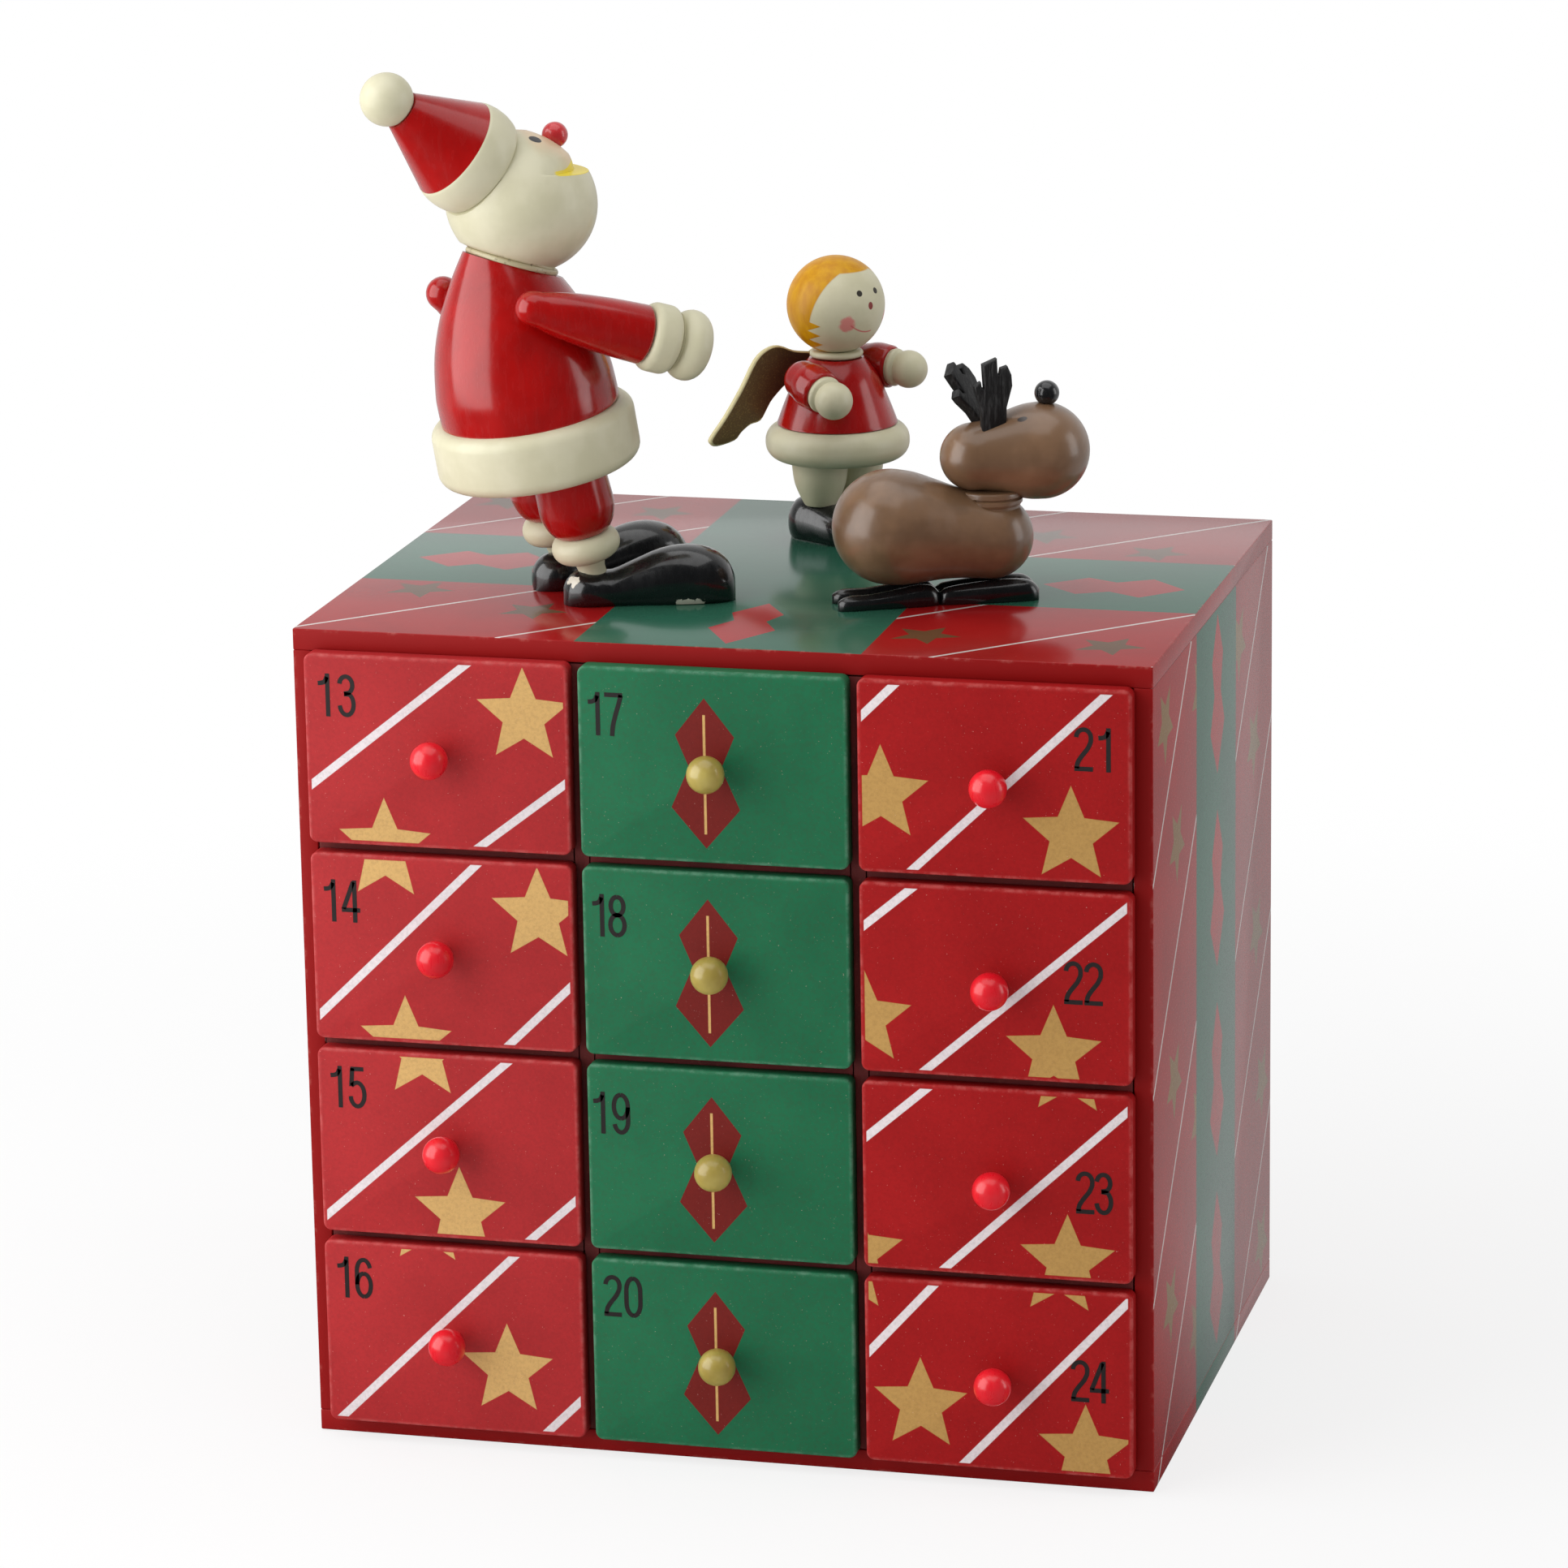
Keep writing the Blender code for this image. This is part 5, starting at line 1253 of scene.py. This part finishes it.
deer = {
    "place": (35, -21), "turn": 24, "legHeight": 4.6, "footWidth": 4.9, "bodySeat": 0.4,
    "rump": 12.0, "rumpForward": -9.6, "chest": 8.9, "chestReach": 21.5, "collar": 6.7, "collarRise": 1.2,
    "headLean": 2.5, "pollBack": 3.4, "pollRise": 6.9, "throat": 7.0, "snout": 10.1, "snoutReach": 14.2,
    "nose": 2.6, "noseSeat": 0.6, "noseLean": 6,
    "antlerHeight": 15.4, "antlerWidth": 8.0, "antlerThickness": 2.5,
    "antlerSpacing": 6.0, "antlerAhead": 3.4, "antlerSink": 1.3,
    "left": {"lean": -31, "twist": 48}, "right": {"lean": 0, "twist": 0},
}
antlerShape = [
    (0.20, 0.0), (0.84, 0.0), (0.85, 0.33), (1.0, 0.62), (0.98, 0.77), (0.88, 0.89), (0.70, 0.86), (0.67, 0.78),
    (0.62, 0.80), (0.60, 1.0), (0.22, 0.92), (0.24, 0.74), (0.26, 0.60), (0.20, 0.61), (0.18, 0.69), (0.0, 0.63),
    (0.03, 0.54), (0.17, 0.33),
]
# Radius by the way from the bigger ball's middle to the smaller one's.
bodyShape = [(12.0, 0), (11.75, 4.0), (10.7, 8.6), (9.8, 12.2), (9.3, 15.6), (9.0, 18.8), (8.9, 21.5)]
headShape = [(10.1, 0), (9.9, 2.8), (9.3, 5.4), (8.5, 8.0), (7.8, 10.6), (7.3, 12.6), (7.1, 14.2)]
# The legs lie folded flat under the body. Each shape has its length and where it starts.
deerFeet = {
    "fore": {
        "length": 21.4, "start": (0.0, 2.5), "turn": 0, "splay": 0,
        "shape": [
            (0.0, 0.0, 0.5), (0.03, 0.40, 0.62), (0.10, 0.72, 0.78), (0.30, 0.88, 0.90), (0.60, 1.0, 1.0),
            (0.84, 0.98, 0.98), (0.93, 0.80, 0.84), (0.98, 0.46, 0.62), (1.0, 0.0, 0.45),
        ],
    },
    "hind": {
        "length": 22.2, "start": (0.6, 2.4), "turn": 180, "splay": 3,
        "shape": [
            (0.0, 0.0, 0.5), (0.03, 0.44, 0.66), (0.10, 0.84, 0.92), (0.24, 0.94, 0.96), (0.45, 0.84, 0.80),
            (0.68, 0.74, 0.66), (0.86, 0.78, 0.66), (0.95, 0.56, 0.54), (1.0, 0.0, 0.36),
        ],
    },
}


def gourdProfile(shape):
    (big, _), (small, reach) = shape[0], shape[-1]
    return ball(big, high=0, steps=22)[:-1] + flowing(shape, 5) + ball(small, reach, 4, steps=18)


def deerPaint(stance, eyeAt):
    # Brushed brown, and a painted eye on each side of the head.
    finish = Finish("deerHeadPaint")
    x, y, z = finish.figureAxes(finish.away(stance @ Vector((0, 0, 0)) * 1000), stance)
    broad, fine = finish.brushed(brownTone, 9, 0.55, 0.68)
    squeezed = finish.point(x * 0.6, abs(y), z)
    eye = finish.ease(finish.distance(squeezed, (eyeAt[0] * 0.6, *eyeAt[1:])), 0.95, 0.8)
    finish.cover(eye * 0.9, (38, 34, 34))
    return finish.wear(
        Roughness=0.28 + fine * 0.12, Coat_Weight=0.6, Coat_Roughness=0.2,
        Normal=finish.bump(fine * 0.35 + broad * 0.5, 0.05, 0.6),
    )


def antlerPaint():
    # Black paint over ribbed fibres, with a painted sheen of lighter grey streaks along the ribs.
    finish = Finish("antlerPaint")
    ribs = finish.noise(0.6, 4, 0.7, squeeze=(1, 1, 0.12))
    # Painted sheen: lighter grey along the ribs.
    finish.colour = finish.blend(finish.ease(ribs, 0.45, 0.75), (16, 16, 17), (58, 58, 58))
    return finish.wear(Roughness=0.42 + ribs * 0.2, Normal=finish.bump(ribs, 0.25, 0.8))


def makeDeer(look):
    stance = standing(look)
    belly = glueGap + look["legHeight"] - look["bodySeat"]
    rumpLift, low = belly + look["rump"], belly + look["chest"]
    sag = math.degrees(math.asin((rumpLift - low) / look["chestReach"]))
    bodySet = aimed(stance, (look["rumpForward"], 0, rumpLift), leaning(90 + sag))
    turned("deerBody", gourdProfile(bodyShape), bodySet, brownPaint, "reindeer_body", 72)
    top, c = low + look["chest"] + look["collarRise"], look["collar"]
    ahead = look["rumpForward"] + look["chestReach"] * math.cos(math.radians(sag))
    collar = [(0, low), (c - 0.5, low), (c - 0.5, top - 3.2), (c, top - 2.6), (c, top - 1.9), (c - 0.45, top - 1.6)]
    collar += [(c, top - 1.2)] + arc(c - 0.5, top - 0.5, 0.5, 0.5, 0, 90, 5) + [(0, top)]
    turned("deerCollar", collar, aimed(stance, (ahead, 0, 0), upright), brownPaint, "reindeer_body")
    poll = Vector((ahead - look["pollBack"], 0, top + look["pollRise"]))
    headWay = leaning(90 - look["headLean"])
    snout = poll + headWay * look["snoutReach"]
    headPaint = deerPaint(stance, (poll.x + 9.6, 4.8, poll.z + 8.0))
    # The head is turned from the snout back, so its profile starts with the bigger ball.
    turned("deerHead", gourdProfile(headShape), aimed(stance, snout, -headWay), headPaint, "reindeer_head", 72)
    noseAt = snout + leaning(look["noseLean"]) * (look["snout"] + look["nose"] - look["noseSeat"])
    turned("deerNose", ball(look["nose"]), aimed(stance, noseAt, upright), blackPaint, "reindeer_nose", 36)
    antlerBlack = antlerPaint()
    outline = [(look["antlerWidth"] * (across - 0.5), look["antlerHeight"] * up) for across, up in antlerShape]
    lift = poll.z + look["throat"] - look["antlerSink"]
    for side, name in sides:
        antler = cutOut(f"deerAntler_{name}", outline, look["antlerThickness"], 0.4)
        foot = moved(poll.x + look["antlerAhead"], side * look["antlerSpacing"] / 2, lift)
        setIn(antler, stance @ foot @ rolled(look[name]["lean"], "Y") @ rolled(look[name]["twist"]))
        finished(antler, antlerBlack, f"reindeer_{name}_antler")
    for side, name in sides:
        for end, foot in deerFeet.items():
            size = (foot["length"], look["footWidth"], look["legHeight"])
            leg = makeShoe(f"deerFoot_{name}_{end}", foot["shape"], *size)
            start, out = foot["start"]
            legSet = stance @ moved(start, side * out, soleGap) @ rolled(foot["turn"] - side * foot["splay"])
            finished(setIn(leg, legSet), blackPaint, "reindeer_legs")


makeDeer(deer)
print("third figure turned")


# Studio

studio = {
    "eye": (0.3299, -1.2936, 0.4853), "azimuth": 14.4598, "elevation": 14.9595, "roll": -0.94109, "lens": 148.32,
    "fill": 0.40, "front": 0.04, "behind": 0.78,
    "lamps": {
        "leftWindow": {"around": -56, "up": 16, "away": 0.78, "wide": 0.9, "high": 1.0, "power": 8.2},
        "rightWindow": {"around": 96, "up": 14, "away": 1.3, "wide": 0.5, "high": 0.9, "power": 2.9},
        "skyLamp": {"around": -10, "up": 84, "away": 1.4, "wide": 1.7, "high": 1.4, "power": 9.4},
    },
}


def outward(around, up):
    # Around counts in degrees from the front as seen from above, and is negative to the left.
    a, e = math.radians(around), math.radians(up)
    return Vector((math.sin(a) * math.cos(e), -math.cos(a) * math.cos(e), math.sin(e)))


def placed(name, data):
    holder = bpy.data.objects.new(name, data)
    bpy.context.scene.collection.objects.link(holder)
    return holder


def makeCamera(look):
    back, r = outward(look["azimuth"], look["elevation"]), math.radians(look["roll"])
    right = upright.cross(back).normalized()
    up = back.cross(right)
    rolledRight = right * math.cos(r) + up * math.sin(r)
    rolledUp = up * math.cos(r) - right * math.sin(r)
    lens = bpy.data.cameras.new("camera")
    lens.lens = look["lens"]
    lens.sensor_width = 36
    lens.clip_start = 0.01
    lens.clip_end = 50
    camera = placed("camera", lens)
    turn = Matrix((rolledRight, rolledUp, back)).transposed()
    camera.matrix_world = Matrix.Translation(look["eye"]) @ turn.to_4x4()
    bpy.context.scene.camera = camera


def makeLamp(name, look, target=(0, 0, 0.14)):
    way = outward(look["around"], look["up"])
    lamp = bpy.data.lights.new(name, "AREA")
    lamp.shape = "RECTANGLE"
    lamp.size = look["wide"]
    lamp.size_y = look["high"]
    lamp.energy = look["power"]
    holder = placed(name, lamp)
    holder.location = Vector(target) + way * look["away"]
    holder.rotation_euler = way.to_track_quat("Z", "Y").to_euler()


def makeWorld(look):
    # White for the camera and behind the object in reflections, dimmer where the photographer stands.
    world = bpy.data.worlds.new("room")
    bpy.context.scene.world = world
    world.use_nodes = True
    room = Nodes(world.node_tree)
    seen, glossy = room.rays()
    depth = room.axes(room.node("ShaderNodeTexCoord", output="Generated"))[1]
    values = {"Value": depth, "From Min": -0.1, "From Max": 0.8, "To Min": look["front"], "To Max": look["behind"]}
    mirrored = glossy * room.node("ShaderNodeMapRange", None, values)
    lit = (1.0 - room.either(seen, glossy)) * look["fill"]
    background = world.node_tree.nodes["Background"].inputs
    background["Color"].default_value = (1, 1, 1, 1)
    room.feed(background["Strength"], room.either(seen, mirrored) + lit)


def makeFloor():
    floor = started("floor", bpy.ops.mesh.primitive_plane_add, size=30, location=(0, 0, -0.0002))
    finish = Finish("paleFloor")
    finish.colour = finish.blend(finish.noise(300, 3), (0.80, 0.80, 0.80, 1), (0.84, 0.84, 0.84, 1))
    finish.wear(Roughness=0.9, Specular_IOR_Level=0.0)
    seen, mirrored = finish.rays()
    away = finish.vector("LENGTH", {0: finish.spot}, "Value")
    openGround = finish.ease(away, 160, 500) * 0.22 + 0.78
    inMirror = finish.ease(finish.axes(finish.spot)[1], -100, 90) * 0.50 + 0.04
    light = finish.blend(seen + mirrored * inMirror, (0, 0, 0, 1), (1, 1, 1, 1))
    glow = finish.node("ShaderNodeEmission", None, {"Color": light})
    mask = finish.either(seen * openGround, mirrored)
    bare = Link(finish, finish.shader.outputs[0])
    shown = finish.node("ShaderNodeMixShader", None, {0: mask, 1: bare, 2: glow})
    finish.feed(finish.tree.nodes["Material Output"].inputs["Surface"], shown)
    floor.data.materials.append(finish.material)


makeCamera(studio)
for name, look in studio["lamps"].items():
    makeLamp(name, look)
makeWorld(studio)
makeFloor()
print("studio set")
